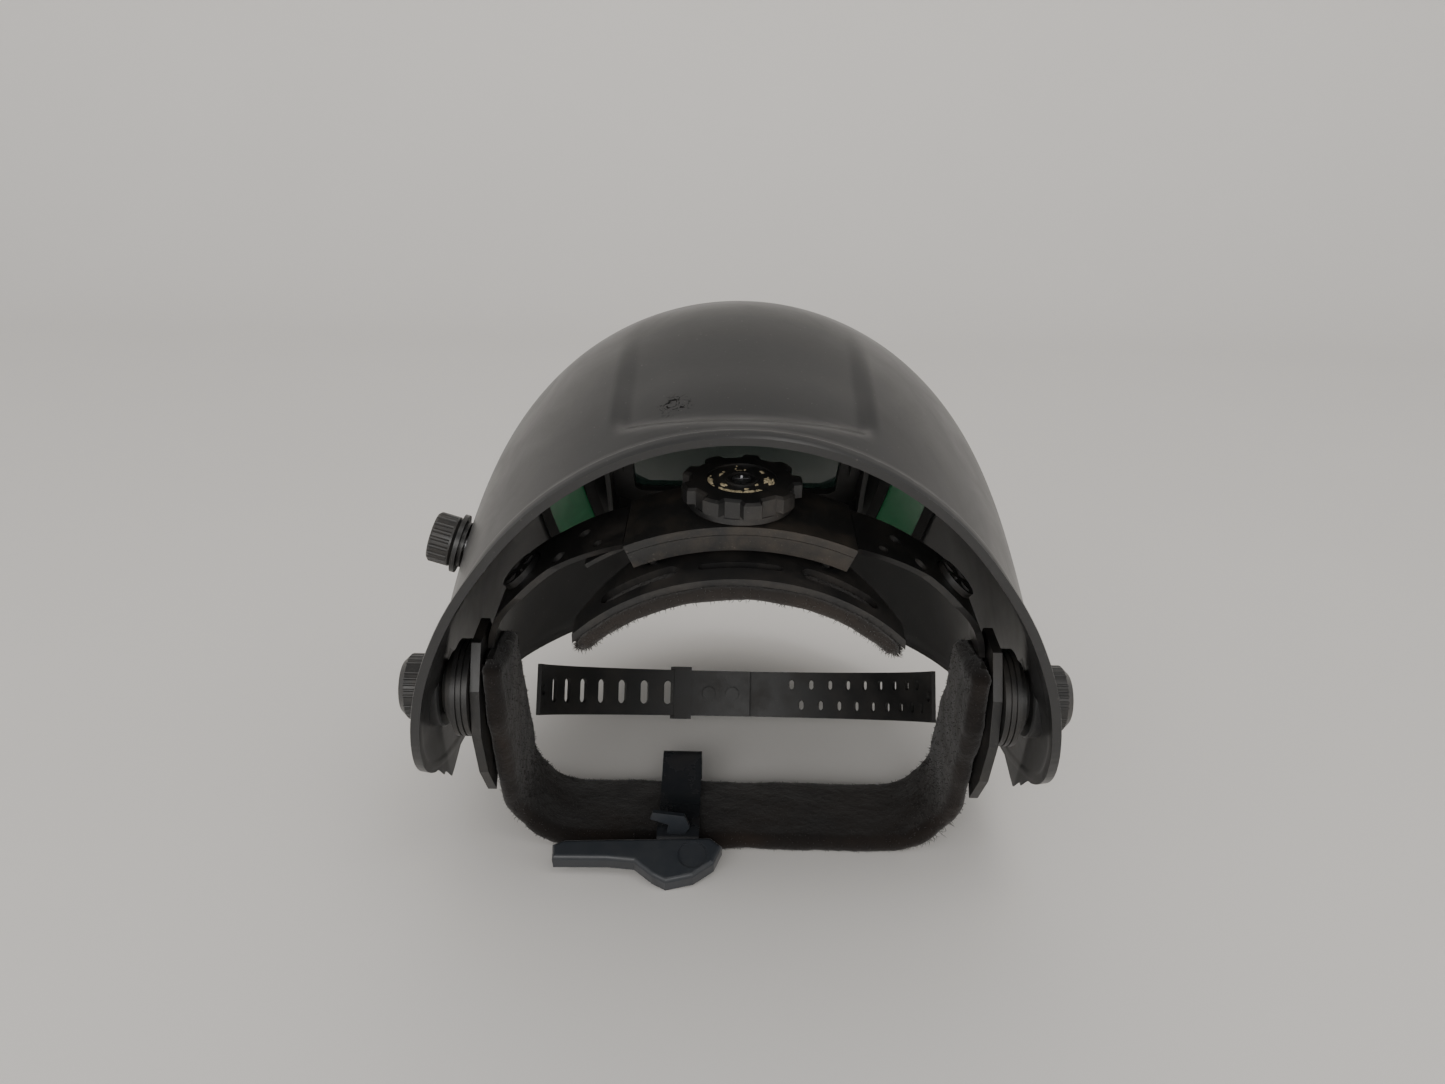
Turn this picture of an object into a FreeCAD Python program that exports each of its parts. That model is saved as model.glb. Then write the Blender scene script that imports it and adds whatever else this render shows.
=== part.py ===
import FreeCAD, Part
import math
import os

# Auto-darkening welding helmet, lying face up with its headgear folded under.
# Millimetres. X runs across the wearer's head (+X is the wearer's right side),
# Y runs from the crown towards the chin, Z is up from the table.
# Everything is drawn about the pivot axis and moved to the table frame on export.

V = FreeCAD.Vector
X_AXIS = V(1, 0, 0)
Y_AXIS = V(0, 1, 0)
Z_AXIS = V(0, 0, 1)
ORIGIN = V(0, 0, 0)

# ---- driving dimensions -------------------------------------------------
TABLE_Z = -75.5               # table below the pivot axis
CENTRE_Y = 78.13              # middle of the whole object, from the pivot axis
FACE_LEAN = 44.0              # how far the face is turned up from upright, degrees

SHELL_HALF_WIDTH = 111.0
SHELL_WALL = 2.2
FAN_Y, FAN_Z = 55.0, -115.0   # axis that the shell's cross-sections fan out from
CROWN_POWER, CHIN_POWER = 3.5, 1.9
LIP_WIDTH, LIP_PROUD = 3.2, 0.7

RECESS_HALF_WIDTH, RECESS_DEPTH, RECESS_EDGE = 36.5, 3.4, 6.5
RECESS_START_Y, RECESS_END_Y = -40.0, 30.0

PAD_OUTER_X, PAD_INNER_X, PAD_R = 106.0, 100.8, 14.0
BOLT_R, BOLT_HOLE_R = 4.0, 4.06
KNOB_R, KNOB_OUTER_X = 11.5, 115.8

BAY_W, BAY_H = 114.8, 92.8    # inside of the filter bay
BAY_WALL, BAY_DEPTH, BAY_FRONT, BAY_UP = 2.4, 14.0, 149.5, -54.0
VIEW_W, VIEW_H = 97.0, 66.0

PLATE_X, PLATE_T = 87.0, 3.2
SLIDE_TRAVEL = 8.0
DISC_IN, DISC_OUT, DISC_R = 90.6, 96.2, 17.0

BAND_BOTTOM_Z, BAND_SIDE_X, BAND_CORNER = -75.5, 93.5, 34.0
FLEECE_IN, FLEECE_OUT, BAND_T = 3.6, 1.3, 1.8

ARC_Z, ARC_R = -17.0, 87.0    # rear housing follows this arc about a Y-parallel axis
HOUSING_Y0, HOUSING_Y1 = -31.0, 1.0
HOUSING_HALF_ANGLE = 23.5
RATCHET_Y = -15.0
RATCHET_KNOB_R, RATCHET_LOBES = 19.0, 9
PINION_R, PINION_TEETH = 4.0, 10

STRAP_LEAN, STRAP_W, STRAP_T = 28.2, 20.0, 1.6
STRAP_HALF_SPAN, STRAP_REACH = 77.2, 66.0
STRAP_FOOT_Y, STRAP_FOOT_Z = 37.0, -20.0

nodes = {}


# ---- helpers ------------------------------------------------------------
def box(x0, x1, y0, y1, z0, z1):
    return Part.makeBox(x1 - x0, y1 - y0, z1 - z0, V(x0, y0, z0))


def rod(r, start, direction, length):
    return Part.makeCylinder(r, length, start, direction)


def along_x(r, x0, x1, y=0.0, z=0.0):
    return rod(r, V(min(x0, x1), y, z), X_AXIS, abs(x1 - x0))


def both_sides(shape):
    return shape.mirror(ORIGIN, X_AXIS)


def prism(points, direction):
    wire = Part.makePolygon(points + [points[0]])
    return Part.Face(wire).extrude(direction)


def curved_prism(points, direction):
    curve = Part.BSplineCurve()
    curve.interpolate(Points=points, PeriodicFlag=True)
    return Part.Face(Part.Wire(curve.toShape())).extrude(direction)


def round_rect(w, h, r, y, cz=0.0):
    """Rounded rectangle in the XZ plane at height y, as a wire."""
    hw, hh, k = w / 2, h / 2, r * (1 - math.sqrt(0.5))
    edges = []
    corners = [(1, 1), (-1, 1), (-1, -1), (1, -1)]
    for i, (sx, sz) in enumerate(corners):
        a = V(sx * hw, y, cz + sz * (hh - r))
        b = V(sx * (hw - r), y, cz + sz * hh)
        mid = V(sx * (hw - k), y, cz + sz * (hh - k))
        first, last = (a, b) if sx * sz > 0 else (b, a)
        edges.append(Part.Arc(first, mid, last).toShape())
        nx, nz = corners[(i + 1) % 4]
        if nx != sx:
            nxt = V(nx * (hw - r), y, cz + nz * hh)
        else:
            nxt = V(nx * hw, y, cz + nz * (hh - r))
        edges.append(Part.LineSegment(last, nxt).toShape())
    return Part.Wire(Part.__sortEdges__(edges))


def slab(w, h, r, y0, y1, cz=0.0):
    return Part.Face(round_rect(w, h, r, y0, cz)).extrude(V(0, y1 - y0, 0))


def frame_ring(w, h, r, rim, y0, y1, cz=0.0):
    hole = slab(w - 2 * rim, h - 2 * rim, max(r - rim, 1.0), y0 - 1, y1 + 1, cz)
    return slab(w, h, r, y0, y1, cz).cut(hole)


def lean(shape):
    """From the wearer's frame, Y forward and Z up, to the way the face lies at rest."""
    shape = shape.copy()
    shape.rotate(ORIGIN, X_AXIS, FACE_LEAN)
    return shape


def smooth_step(t):
    t = max(0.0, min(1.0, t))
    return t * t * (3 - 2 * t)


def curve_value(table, x):
    """Smooth value through (x, y) pairs, by cubic pieces."""
    table = sorted(table)
    if x <= table[0][0]:
        return table[0][1]
    if x >= table[-1][0]:
        return table[-1][1]
    k = max(i for i in range(len(table) - 1) if table[i][0] <= x)
    x0, y0 = table[k]
    x1, y1 = table[k + 1]

    def slope(i):
        lo, hi = max(i - 1, 0), min(i + 1, len(table) - 1)
        return (table[hi][1] - table[lo][1]) / (table[hi][0] - table[lo][0])

    t, w = (x - x0) / (x1 - x0), x1 - x0
    return ((2 * t**3 - 3 * t**2 + 1) * y0 + (t**3 - 2 * t**2 + t) * w * slope(k)
            + (3 * t**2 - 2 * t**3) * y1 + (t**3 - t**2) * w * slope(k + 1))


# ---- shell --------------------------------------------------------------
# The middle line of the face from behind the crown, over the forehead, to the chin.
MIDDLE_LINE = [(-125, 52), (-85, 84), (-49, 104), (-20, 118), (10, 127.6), (35, 130.3),
               (68, 124.2), (98, 113), (126, 92), (150, 66), (172, 35), (190, 2),
               (201, -28), (206, -60), (205, -110)]
FAN = [(math.degrees(math.atan2(z - FAN_Z, y - FAN_Y)), math.hypot(y - FAN_Y, z - FAN_Z))
       for y, z in MIDDLE_LINE]
POWER = [(2, CHIN_POWER), (28, CHIN_POWER), (45, 2.7), (60, 3.6), (78, 3.9), (95, CROWN_POWER),
         (117.5, CROWN_POWER), (120.2, 3.9), (124.2, 4.5), (130, 4.7), (150, 4.7)]


def shell_point(angle, t, inset):
    """A point of the shell: angle picks the cross-section, t runs from ear to ear."""
    reach = curve_value(FAN, angle) - inset
    half = SHELL_HALF_WIDTH - inset
    x = half * math.cos(t)
    r = reach * math.sin(t) ** (2.0 / curve_value(POWER, angle))
    a = math.radians(angle)
    y, z = FAN_Y + r * math.cos(a), FAN_Z + r * math.sin(a)
    start = RECESS_START_Y + 7.0 * (x / RECESS_HALF_WIDTH) ** 2
    dip = (RECESS_DEPTH * smooth_step((RECESS_HALF_WIDTH - abs(x)) / RECESS_EDGE + 0.5)
           * smooth_step((y - start) / RECESS_EDGE + 0.5)
           * smooth_step((RECESS_END_Y - y) / 45.0))
    if z < 60:
        dip = 0.0
    return V(x, y - dip * math.cos(a), z - dip * math.sin(a))


def shell_surface(inset, rows=84, columns=81, low=6.0, high=146.0):
    grid = []
    for i in range(rows + 1):
        angle = low + (high - low) * i / rows
        grid.append([shell_point(angle, math.pi * (0.02 + 0.96 * j / columns), inset)
                     for j in range(columns + 1)])
    surface = Part.BSplineSurface()
    surface.interpolate(grid)
    return surface


def edge_on(surface, side):
    u0, u1, v0, v1 = surface.bounds()
    iso = {"u0": lambda: surface.uIso(u0), "u1": lambda: surface.uIso(u1),
           "v0": lambda: surface.vIso(v0), "v1": lambda: surface.vIso(v1)}
    return iso[side]().toShape()


def skin(outer_inset, inner_inset):
    outer, inner = shell_surface(outer_inset), shell_surface(inner_inset)
    faces = [outer.toShape(), inner.toShape()]
    for side in ("u0", "u1", "v0", "v1"):
        faces.append(Part.makeRuledSurface(edge_on(outer, side), edge_on(inner, side)))
    sewn = Part.makeShell(faces)
    sewn.sewShape(0.01)
    solid = Part.makeSolid(Part.Shell(sewn.Faces))
    if solid.Volume < 0:
        solid.reverse()
    return solid


# The rim seen from the side: crown, down past the pivot, round the ear lobe, then level to the chin.
RIM = [(-49, 104), (-46, 88), (-40, 64), (-34, 38), (-29, 10), (-24, -10), (-14, -25),
       (4, -36), (30, -43), (70, -48)]


def rim_prism(grow):
    """Everything on the shell's side of the rim, drawn back by grow."""
    line = []
    for i, (y, z) in enumerate(RIM):
        y0, z0 = RIM[max(i - 1, 0)]
        y1, z1 = RIM[min(i + 1, len(RIM) - 1)]
        n = math.hypot(y1 - y0, z1 - z0)
        line.append(V(-150, y - grow * (z1 - z0) / n, z + grow * (y1 - y0) / n))
    y0, z0 = line[0].y, line[0].z
    y1, z1 = line[-1].y, line[-1].z
    curve = Part.BSplineCurve()
    curve.interpolate(line)
    corners = [V(-150, y1, z1), V(-150, 260, z1), V(-150, 260, 200), V(-150, y0 - 8, 200),
               V(-150, y0, z0)]
    edges = [curve.toShape()]
    for a, b in zip(corners, corners[1:]):
        edges.append(Part.LineSegment(a, b).toShape())
    return Part.Face(Part.Wire(Part.__sortEdges__(edges))).extrude(V(300, 0, 0))


def bay_body(inset, y_back, y_front):
    wall = BAY_WALL
    w, h = BAY_W + 2 * wall, BAY_H + 2 * wall
    back = round_rect(w - 2 * inset, h - 2 * inset, 12 - inset, y_back, BAY_UP)
    front = round_rect(w - 2 * inset, h - 2 * inset, 12 - inset, y_front, BAY_UP)
    return Part.makeLoft([back, front], True, True)


SHADE_ANGLE = 16.5            # the shade knob leans up by this much
SHADE_SEAT = V(-99.0, 30.0, 42.0)
SHADE_KNOB_R, SHADE_KNOB_END = 9.2, 12.0
SHADE_AXIS = V(-math.cos(math.radians(SHADE_ANGLE)), 0, math.sin(math.radians(SHADE_ANGLE)))


def shade_rod(r, start, end):
    return rod(r, SHADE_SEAT + SHADE_AXIS * start, SHADE_AXIS, end - start)


# The side windows stand beside the filter bay and look out half forward, half sideways.
SIDE_WINDOW_SPOT, SIDE_WINDOW_TURN = V(76.0, 114.0, -72.0), 40.0
SIDE_WINDOW_W, SIDE_WINDOW_H = 24.0, 64.0


def side_window_cutter(grow):
    w, h = SIDE_WINDOW_W + 2 * grow, SIDE_WINDOW_H + 2 * grow
    hole = Part.Face(round_rect(w, h, 5 + grow, -10, 0)).extrude(V(0, 28, 0))
    hole.rotate(ORIGIN, Z_AXIS, -SIDE_WINDOW_TURN)
    hole.translate(SIDE_WINDOW_SPOT)
    return lean(hole)


def make_shell():
    shell = skin(0, SHELL_WALL).common(rim_prism(0))
    lip = skin(-LIP_PROUD, SHELL_WALL + 0.4).common(rim_prism(0)).cut(rim_prism(LIP_WIDTH))
    shell = shell.cut(lean(bay_body(0, BAY_FRONT - 70, BAY_FRONT + 20)))
    bay = bay_body(0, BAY_FRONT - 60, BAY_FRONT)
    bay = bay.makeFillet(3.0, [e for e in bay.Edges
                               if e.BoundBox.YMin > BAY_FRONT - 0.1])
    bay = bay.cut(slab(BAY_W, BAY_H, 9, BAY_FRONT - 61, BAY_FRONT - 2.4, BAY_UP))
    bay = bay.cut(slab(VIEW_W + 6, VIEW_H + 6, 7, BAY_FRONT - 5, BAY_FRONT + 1, BAY_UP))
    bay = lean(bay).common(skin(-50, BAY_DEPTH))
    shell = shell.fuse(bay)
    for sign in (1, -1):
        pad = along_x(PAD_R, sign * PAD_INNER_X, sign * PAD_OUTER_X)
        shell = shell.fuse(pad)
        shell = shell.cut(along_x(KNOB_R + 0.6, sign * PAD_OUTER_X, sign * 125))
    shell = shell.cut(along_x(BOLT_HOLE_R, -130, 130))
    shell = shell.fuse(lip)
    window = side_window_cutter(0)
    shell = shell.cut(window).cut(both_sides(window))
    shell = shell.cut(shade_rod(3.6, -12, 12))
    return biggest(shell)


def biggest(shape):
    return max(shape.Solids, key=lambda s: s.Volume)


nodes["shell"] = make_shell()


# ---- filter bay: cover lens, cartridge, retainer -------------------------
def from_front(depth):
    """Distance forward of the pivot, for something that deep behind the bay's front face."""
    return BAY_FRONT - depth


def make_filter():
    cz, w, h = BAY_UP, BAY_W - 0.6, BAY_H - 0.6
    strip_z = cz + h / 2 - 6.0
    parts = {}
    parts["front_cover_lens"] = slab(w - 3, h - 3, 7, from_front(4.6), from_front(2.5), cz)
    front = frame_ring(w, h, 8, 9, from_front(9.0), from_front(4.8), cz)
    front = front.fuse(slab(w, 12, 3, from_front(9.0), from_front(4.8), strip_z).common(
        slab(w, h, 8, from_front(9.0), from_front(4.8), cz)))
    front = front.cut(slab(44.0, 8.4, 1, from_front(6.5), from_front(4), strip_z))
    sensor_places = [(-34, strip_z), (34, strip_z), (-50, cz - 30), (50, cz - 30)]
    for x, z in sensor_places:
        front = front.cut(rod(2.6, V(x, from_front(7.0), z), Y_AXIS, 4))
    parts["cartridge_front_frame"] = front
    parts["solar_cell"] = slab(43.6, 8.0, 1, from_front(6.4), from_front(5.0), strip_z)
    sensors = [rod(2.5, V(x, from_front(6.9), z), Y_AXIS, 1.8) for x, z in sensor_places]
    parts["arc_sensors"] = Part.makeCompound(sensors)
    glass_z, glass_h = cz - 6.0, h - 20.0
    parts["lcd_filter_glass"] = slab(w - 12, glass_h, 2, from_front(13.0), from_front(9.1), glass_z)
    back = slab(w, h, 8, from_front(16.0), from_front(9.05), cz)
    back = back.cut(slab(w - 11.6, glass_h + 0.4, 2.2, from_front(13.1), from_front(8), glass_z))
    back = back.cut(slab(VIEW_W, VIEW_H, 5, from_front(17), from_front(8), cz - 4))
    for x in (-42, 42):
        back = back.cut(rod(5.2, V(x, from_front(13.0), strip_z), Y_AXIS, 5))
    back = back.cut(slab(60, 8.4, 1, from_front(12.4), from_front(8), strip_z))
    parts["cartridge_back_frame"] = back
    cells = [rod(5.0, V(x, from_front(12.9), strip_z), Y_AXIS, 3.2) for x in (-42, 42)]
    parts["coin_cells"] = Part.makeCompound(cells)
    parts["circuit_board"] = slab(59, 7.8, 1, from_front(12.2), from_front(10.8), strip_z)
    parts["inner_cover_lens"] = slab(VIEW_W + 6, VIEW_H + 6, 5, from_front(17.6),
                                     from_front(16.2), cz - 4)
    keeper = slab(w, h, 8, from_front(20.5), from_front(16.1), cz)
    keeper = keeper.cut(slab(VIEW_W - 2, VIEW_H - 2, 5, from_front(22), from_front(15), cz - 4))
    keeper = keeper.cut(slab(VIEW_W + 6.4, VIEW_H + 6.4, 5.2, from_front(17.7),
                             from_front(15), cz - 4))
    for x in (-53, 53):
        keeper = keeper.fuse(box(x - 1.5, x + 1.5, from_front(24.5), from_front(20), cz - 12, cz + 12))
    parts["lens_retainer"] = keeper
    return {name: lean(shape) for name, shape in parts.items()}


nodes.update(make_filter())


# ---- side windows --------------------------------------------------------
def make_side_windows():
    pane = skin(0.5, 1.9).common(side_window_cutter(-0.25))
    pane = biggest(pane)
    seal = skin(SHELL_WALL + 0.1, SHELL_WALL + 1.6).common(side_window_cutter(3.0))
    seal = biggest(seal.cut(side_window_cutter(-2.0)))
    return pane, seal


pane, seal = make_side_windows()
nodes["side_window_right"] = pane
nodes["side_window_left"] = both_sides(pane)
nodes["side_window_seals"] = Part.makeCompound([seal, both_sides(seal)])


# ---- shade control on the wearer's left ------------------------------------
def make_shade_control():
    flange = shade_rod(10.8, 1.2, 2.8).cut(shade_rod(3.7, -1, 5))
    flange = flange.fuse(shade_rod(8.4, -0.2, 1.4).cut(shade_rod(3.7, -1, 5)))
    nodes["shade_flange"] = flange.cut(nodes["shell"])
    body = shade_rod(8.0, -9.0, -5.2).fuse(shade_rod(3.4, -5.4, 3.4))
    spindle = shade_rod(2.0, 3.3, SHADE_KNOB_END - 3.6)
    nodes["shade_potentiometer"] = body.fuse(spindle)
    nut = prism([SHADE_SEAT + SHADE_AXIS * -5.1 + side for side in hexagon(5.5)],
                SHADE_AXIS * 1.6)
    nodes["potentiometer_nut"] = nut.cut(shade_rod(3.45, -8, 2))
    knob = shade_rod(SHADE_KNOB_R, 3.2, SHADE_KNOB_END)
    knob = knob.makeChamfer(0.9, [e for e in knob.Edges if e.Length > 20])
    for i in range(20):
        a = 2 * math.pi * i / 20
        side = shade_side(a)
        knob = knob.cut(rod(0.85, SHADE_SEAT + side * (SHADE_KNOB_R + 0.2) + SHADE_AXIS * 4.8,
                            SHADE_AXIS, 13))
    knob = knob.cut(shade_rod(3.5, 3.0, 3.8)).cut(shade_rod(2.05, 3.0, SHADE_KNOB_END - 3.3))
    knob = knob.cut(shade_rod(5.4, SHADE_KNOB_END - 0.6, SHADE_KNOB_END + 1))
    nodes["shade_knob"] = knob


def shade_side(a):
    up = V(SHADE_AXIS.z, 0, -SHADE_AXIS.x)
    return Y_AXIS * math.cos(a) + up * math.sin(a)


def hexagon(r):
    return [shade_side(math.radians(60 * i)) * r for i in range(6)]


make_shade_control()


# ---- pivot stack -----------------------------------------------------------
def ribbed_cap(x0, x1, r):
    """Tension knob on the pivot: domed cap with groups of fine ribs and plain facets."""
    cap = along_x(r, x0, x1)
    cap = cap.makeChamfer(2.4, [e for e in cap.Edges
                                if e.Length > 2 * r and e.BoundBox.XMin > x1 - 0.1])
    for i in range(36):
        if i % 6 == 0:
            continue
        a = 2 * math.pi * i / 36
        cap = cap.cut(along_x(0.55, x0 - 1, x1 - 1.8, (r + 0.15) * math.cos(a),
                              (r + 0.15) * math.sin(a)))
    return cap.cut(along_x(BOLT_R + 0.06, x0 - 1, x1 - 3.0))


def make_pivot_right():
    made = {}
    made["pivot_knob"] = ribbed_cap(PAD_OUTER_X + 0.3, KNOB_OUTER_X, KNOB_R)
    bolt = along_x(BOLT_R, PLATE_X + 2.1, KNOB_OUTER_X - 3.2)
    bolt = bolt.fuse(along_x(6.2, PLATE_X + 0.1, PLATE_X + 2.2))
    made["pivot_bolt"] = bolt
    hole = along_x(BOLT_HOLE_R, 80, 125)
    made["friction_washer"] = along_x(9.5, 98.9, PAD_INNER_X - 0.1).cut(hole)
    flange = along_x(13.0, 97.7, 98.8).fuse(along_x(14.5, 96.4, 97.5))
    flange = flange.fuse(along_x(11.5, 97.4, 97.8))
    made["stop_flange"] = flange.cut(hole)
    disc = along_x(DISC_R, DISC_IN, DISC_OUT)
    for x in (DISC_IN + 1.9, DISC_IN + 3.8):
        disc = disc.cut(along_x(DISC_R + 1, x - 0.25, x + 0.25).cut(
            along_x(DISC_R - 0.8, x - 1, x + 1)))
    made["tilt_disc"] = disc.cut(hole)
    return made


for name, shape in make_pivot_right().items():
    nodes[name + "_right"] = shape
    nodes[name + "_left"] = both_sides(shape)


# ---- headgear: side plates, browband, sweatband ------------------------------
def u_wire(side_x, bottom_z, corner, top_z, y):
    """Half of an oval: down one side, round the corner, along the bottom and up again."""
    k = corner * (1 - math.sqrt(0.5))
    left = [V(-side_x, y, top_z), V(-side_x, y, bottom_z + corner)]
    right = [V(side_x, y, bottom_z + corner), V(side_x, y, top_z)]
    turn_l = V(-side_x + k, y, bottom_z + k)
    turn_r = V(side_x - k, y, bottom_z + k)
    low_l = V(-side_x + corner, y, bottom_z)
    low_r = V(side_x - corner, y, bottom_z)
    return [Part.LineSegment(left[0], left[1]), Part.Arc(left[1], turn_l, low_l),
            Part.LineSegment(low_l, low_r), Part.Arc(low_r, turn_r, right[0]),
            Part.LineSegment(right[0], right[1])]


def u_strip(side_x, bottom_z, corner, top_z, thick, y0, y1):
    """A strip of that thickness inside the oval line, between y0 and y1."""
    outer = [s.toShape() for s in u_wire(side_x, bottom_z, corner, top_z, y0)]
    inner = [s.toShape() for s in u_wire(side_x - thick, bottom_z + thick,
                                         corner - thick, top_z, y0)]
    caps = [Part.LineSegment(V(s * side_x, y0, top_z),
                             V(s * (side_x - thick), y0, top_z)).toShape() for s in (-1, 1)]
    wire = Part.Wire(Part.__sortEdges__(outer + inner + caps))
    return Part.Face(wire).extrude(V(0, y1 - y0, 0))


# Near and far edges of the band seen from the side, from the table up.
SWEAT_EDGES = [V(-150, 12, -80), V(-150, 12.5, -66), V(-150, 4, -40), V(-150, -8, -10),
               V(-150, -12, 14), V(-150, 20, 16), V(-150, 30, -8), V(-150, 44, -38),
               V(-150, 52.5, -66), V(-150, 53, -80)]
BROW_EDGES = [V(-150, 17, -80), V(-150, 17.5, -66), V(-150, 9, -40), V(-150, -3, -10),
              V(-150, -6, 13.9), V(-150, 17, 13.9), V(-150, 25, -8), V(-150, 39, -38),
              V(-150, 47.5, -66), V(-150, 48, -80)]


def make_bands():
    sweat = u_strip(BAND_SIDE_X - 6.8, BAND_BOTTOM_Z, BAND_CORNER - 6.8, 14,
                    FLEECE_OUT + BAND_T + FLEECE_IN, -30, 70)
    sweat = sweat.common(prism(SWEAT_EDGES, V(300, 0, 0)))
    brow_side, brow_low = BAND_SIDE_X - 6.8 - FLEECE_OUT, BAND_BOTTOM_Z + FLEECE_OUT
    brow_corner = BAND_CORNER - 6.8 - FLEECE_OUT
    brow = u_strip(brow_side, brow_low, brow_corner, 20, BAND_T, -30, 70)
    brow = brow.common(prism(BROW_EDGES, V(300, 0, 0)))
    room = u_strip(brow_side + 0.05, brow_low - 0.05, brow_corner, 30, BAND_T + 0.1, -30, 70)
    grown = [p + V(0, -0.1, 0) for p in BROW_EDGES[:5]] + [p + V(0, 0.1, 0) for p in BROW_EDGES[5:]]
    sweat = sweat.cut(room.common(prism(grown, V(300, 0, 0))))
    return biggest(brow), biggest(sweat)


nodes["browband"], nodes["sweatband"] = make_bands()


PLATE_EDGES = [V(0, -13, 5), V(0, -14, -12), V(0, -7, -30), V(0, 4, -44), V(0, 14, -30),
               V(0, 19, -10), V(0, 19, 8), V(0, 10, 22), V(0, -6, 20)]


def make_side_plate():
    plate = prism([p + V(PLATE_X, 0, 0) for p in PLATE_EDGES], V(PLATE_T, 0, 0))
    for z in (-SLIDE_TRAVEL, 0, SLIDE_TRAVEL):
        plate = plate.cut(along_x(BOLT_R + 0.3, 80, 95, 0, z))
        plate = plate.cut(along_x(6.5, PLATE_X - 1, PLATE_X + 2.3, 0, z))
    slot = box(80, 95, -BOLT_R - 0.3, BOLT_R + 0.3, -SLIDE_TRAVEL, SLIDE_TRAVEL)
    pocket = box(PLATE_X - 1, PLATE_X + 2.3, -6.5, 6.5, -SLIDE_TRAVEL, SLIDE_TRAVEL)
    plate = plate.cut(slot).cut(pocket)
    for z in (-24, -31):
        plate = plate.cut(along_x(1.6, 80, 95, 4, z))
    return plate


nodes["side_plate_right"] = make_side_plate()
nodes["side_plate_left"] = both_sides(nodes["side_plate_right"])


# ---- crown strap -------------------------------------------------------------
def strap_place(shape):
    """From the strap's own plane, reach along Y, to its sloping place on the headgear."""
    shape = shape.copy()
    shape.rotate(ORIGIN, X_AXIS, -STRAP_LEAN)
    shape.translate(V(0, STRAP_FOOT_Y, STRAP_FOOT_Z))
    return shape


def strap_spot(a, grow):
    return V((STRAP_HALF_SPAN + grow) * math.cos(a), (STRAP_REACH + grow) * math.sin(a), 0)


def strap_arc(a0, a1, grow, thick):
    """Part of the strap's arch between two angles, grow mm outside its middle line."""
    steps = 14
    lines = []
    for g in (grow, grow - thick):
        points = [strap_spot(math.radians(a0 + (a1 - a0) * i / steps), g)
                  for i in range(steps + 1)]
        curve = Part.BSplineCurve()
        curve.interpolate(points)
        lines.append(curve)
    joins = [Part.LineSegment(lines[0].value(f(lines[0])), lines[1].value(f(lines[1])))
             for f in (lambda c: c.FirstParameter, lambda c: c.LastParameter)]
    wire = Part.Wire(Part.__sortEdges__([s.toShape() for s in lines + joins]))
    face = Part.Face(wire)
    face.translate(V(0, 0, -STRAP_W / 2))
    return face.extrude(V(0, 0, STRAP_W))


def strap_hole(a, r, stretch, z=0.0):
    """An oval hole through the strap at angle a."""
    here = strap_spot(math.radians(a), 0)
    out = V(here.x / STRAP_HALF_SPAN**2, here.y / STRAP_REACH**2, 0).normalize()
    hole = rod(r, here - out * 6 + V(0, 0, z - stretch), out, 12)
    hole = hole.fuse(rod(r, here - out * 6 + V(0, 0, z + stretch), out, 12))
    side = V(-out.y, out.x, 0)
    base = here - out * 6 + V(0, 0, z)
    corners = [base + side * (sx * r) + V(0, 0, sz * stretch)
               for sx, sz in ((-1, -1), (1, -1), (1, 1), (-1, 1))]
    return hole.fuse(prism(corners, out * 12))


def make_crown_strap():
    left = strap_arc(84, 178, 0, STRAP_T)
    for i in range(7):
        left = left.cut(strap_hole(112 + 8.6 * i, 1.9, 3.2))
    left = left.cut(strap_hole(174, 2.1, 0.01))
    right = strap_arc(2, 107, STRAP_T + 0.3, STRAP_T)
    for i in range(9):
        for z in (-4.5, 4.5):
            right = right.cut(strap_hole(14 + 6.8 * i + (1.7 if z > 0 else -1.7), 1.2, 0.8, z))
    right = right.cut(strap_hole(6, 2.1, 0.01))
    for a in (90, 98):
        right = right.cut(strap_hole(a, 2.0, 3.0))
        left = left.cut(strap_hole(a, 2.05, 0.01))
    keeper = strap_arc(104, 110, STRAP_T + 2.1, 5.7)
    room = strap_arc(102, 112, STRAP_T + 0.6, 3.9).common(
        box(-150, 150, -150, 150, -STRAP_W / 2 - 0.3, STRAP_W / 2 + 0.3))
    tall = keeper.copy()
    tall.translate(V(0, 0, 1.5))
    low = keeper.copy()
    low.translate(V(0, 0, -1.5))
    wide_room = strap_arc(102, 112, STRAP_T + 0.6, 3.9)
    up = wide_room.copy()
    up.translate(V(0, 0, 0.3))
    down = wide_room.copy()
    down.translate(V(0, 0, -0.3))
    keeper = tall.fuse(low).cut(up).cut(down).cut(room)
    pegs = []
    for a in (90, 98):
        here = strap_spot(math.radians(a), 0)
        out = V(here.x / STRAP_HALF_SPAN**2, here.y / STRAP_REACH**2, 0).normalize()
        stem = rod(1.9, here - out * (STRAP_T + 0.2), out, 2 * STRAP_T + 0.8)
        head = rod(3.4, here + out * (STRAP_T + 0.4), out, 1.4)
        foot = rod(2.8, here - out * (STRAP_T + 1.2), out, 1.1)
        pegs.append(stem.fuse(head).fuse(foot))
    return {"crown_strap_left": left, "crown_strap_right": right,
            "strap_keeper": keeper, "strap_pegs": Part.makeCompound(pegs)}


for name, shape in make_crown_strap().items():
    nodes[name] = strap_place(shape)


# ---- rear band: arms, housing, ratchet -----------------------------------------
def arc_spot(angle, r, y):
    """A point on the rear arc, angle in degrees from straight up, + towards +X."""
    a = math.radians(angle)
    return V(r * math.sin(a), y, ARC_Z + r * math.cos(a))


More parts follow.
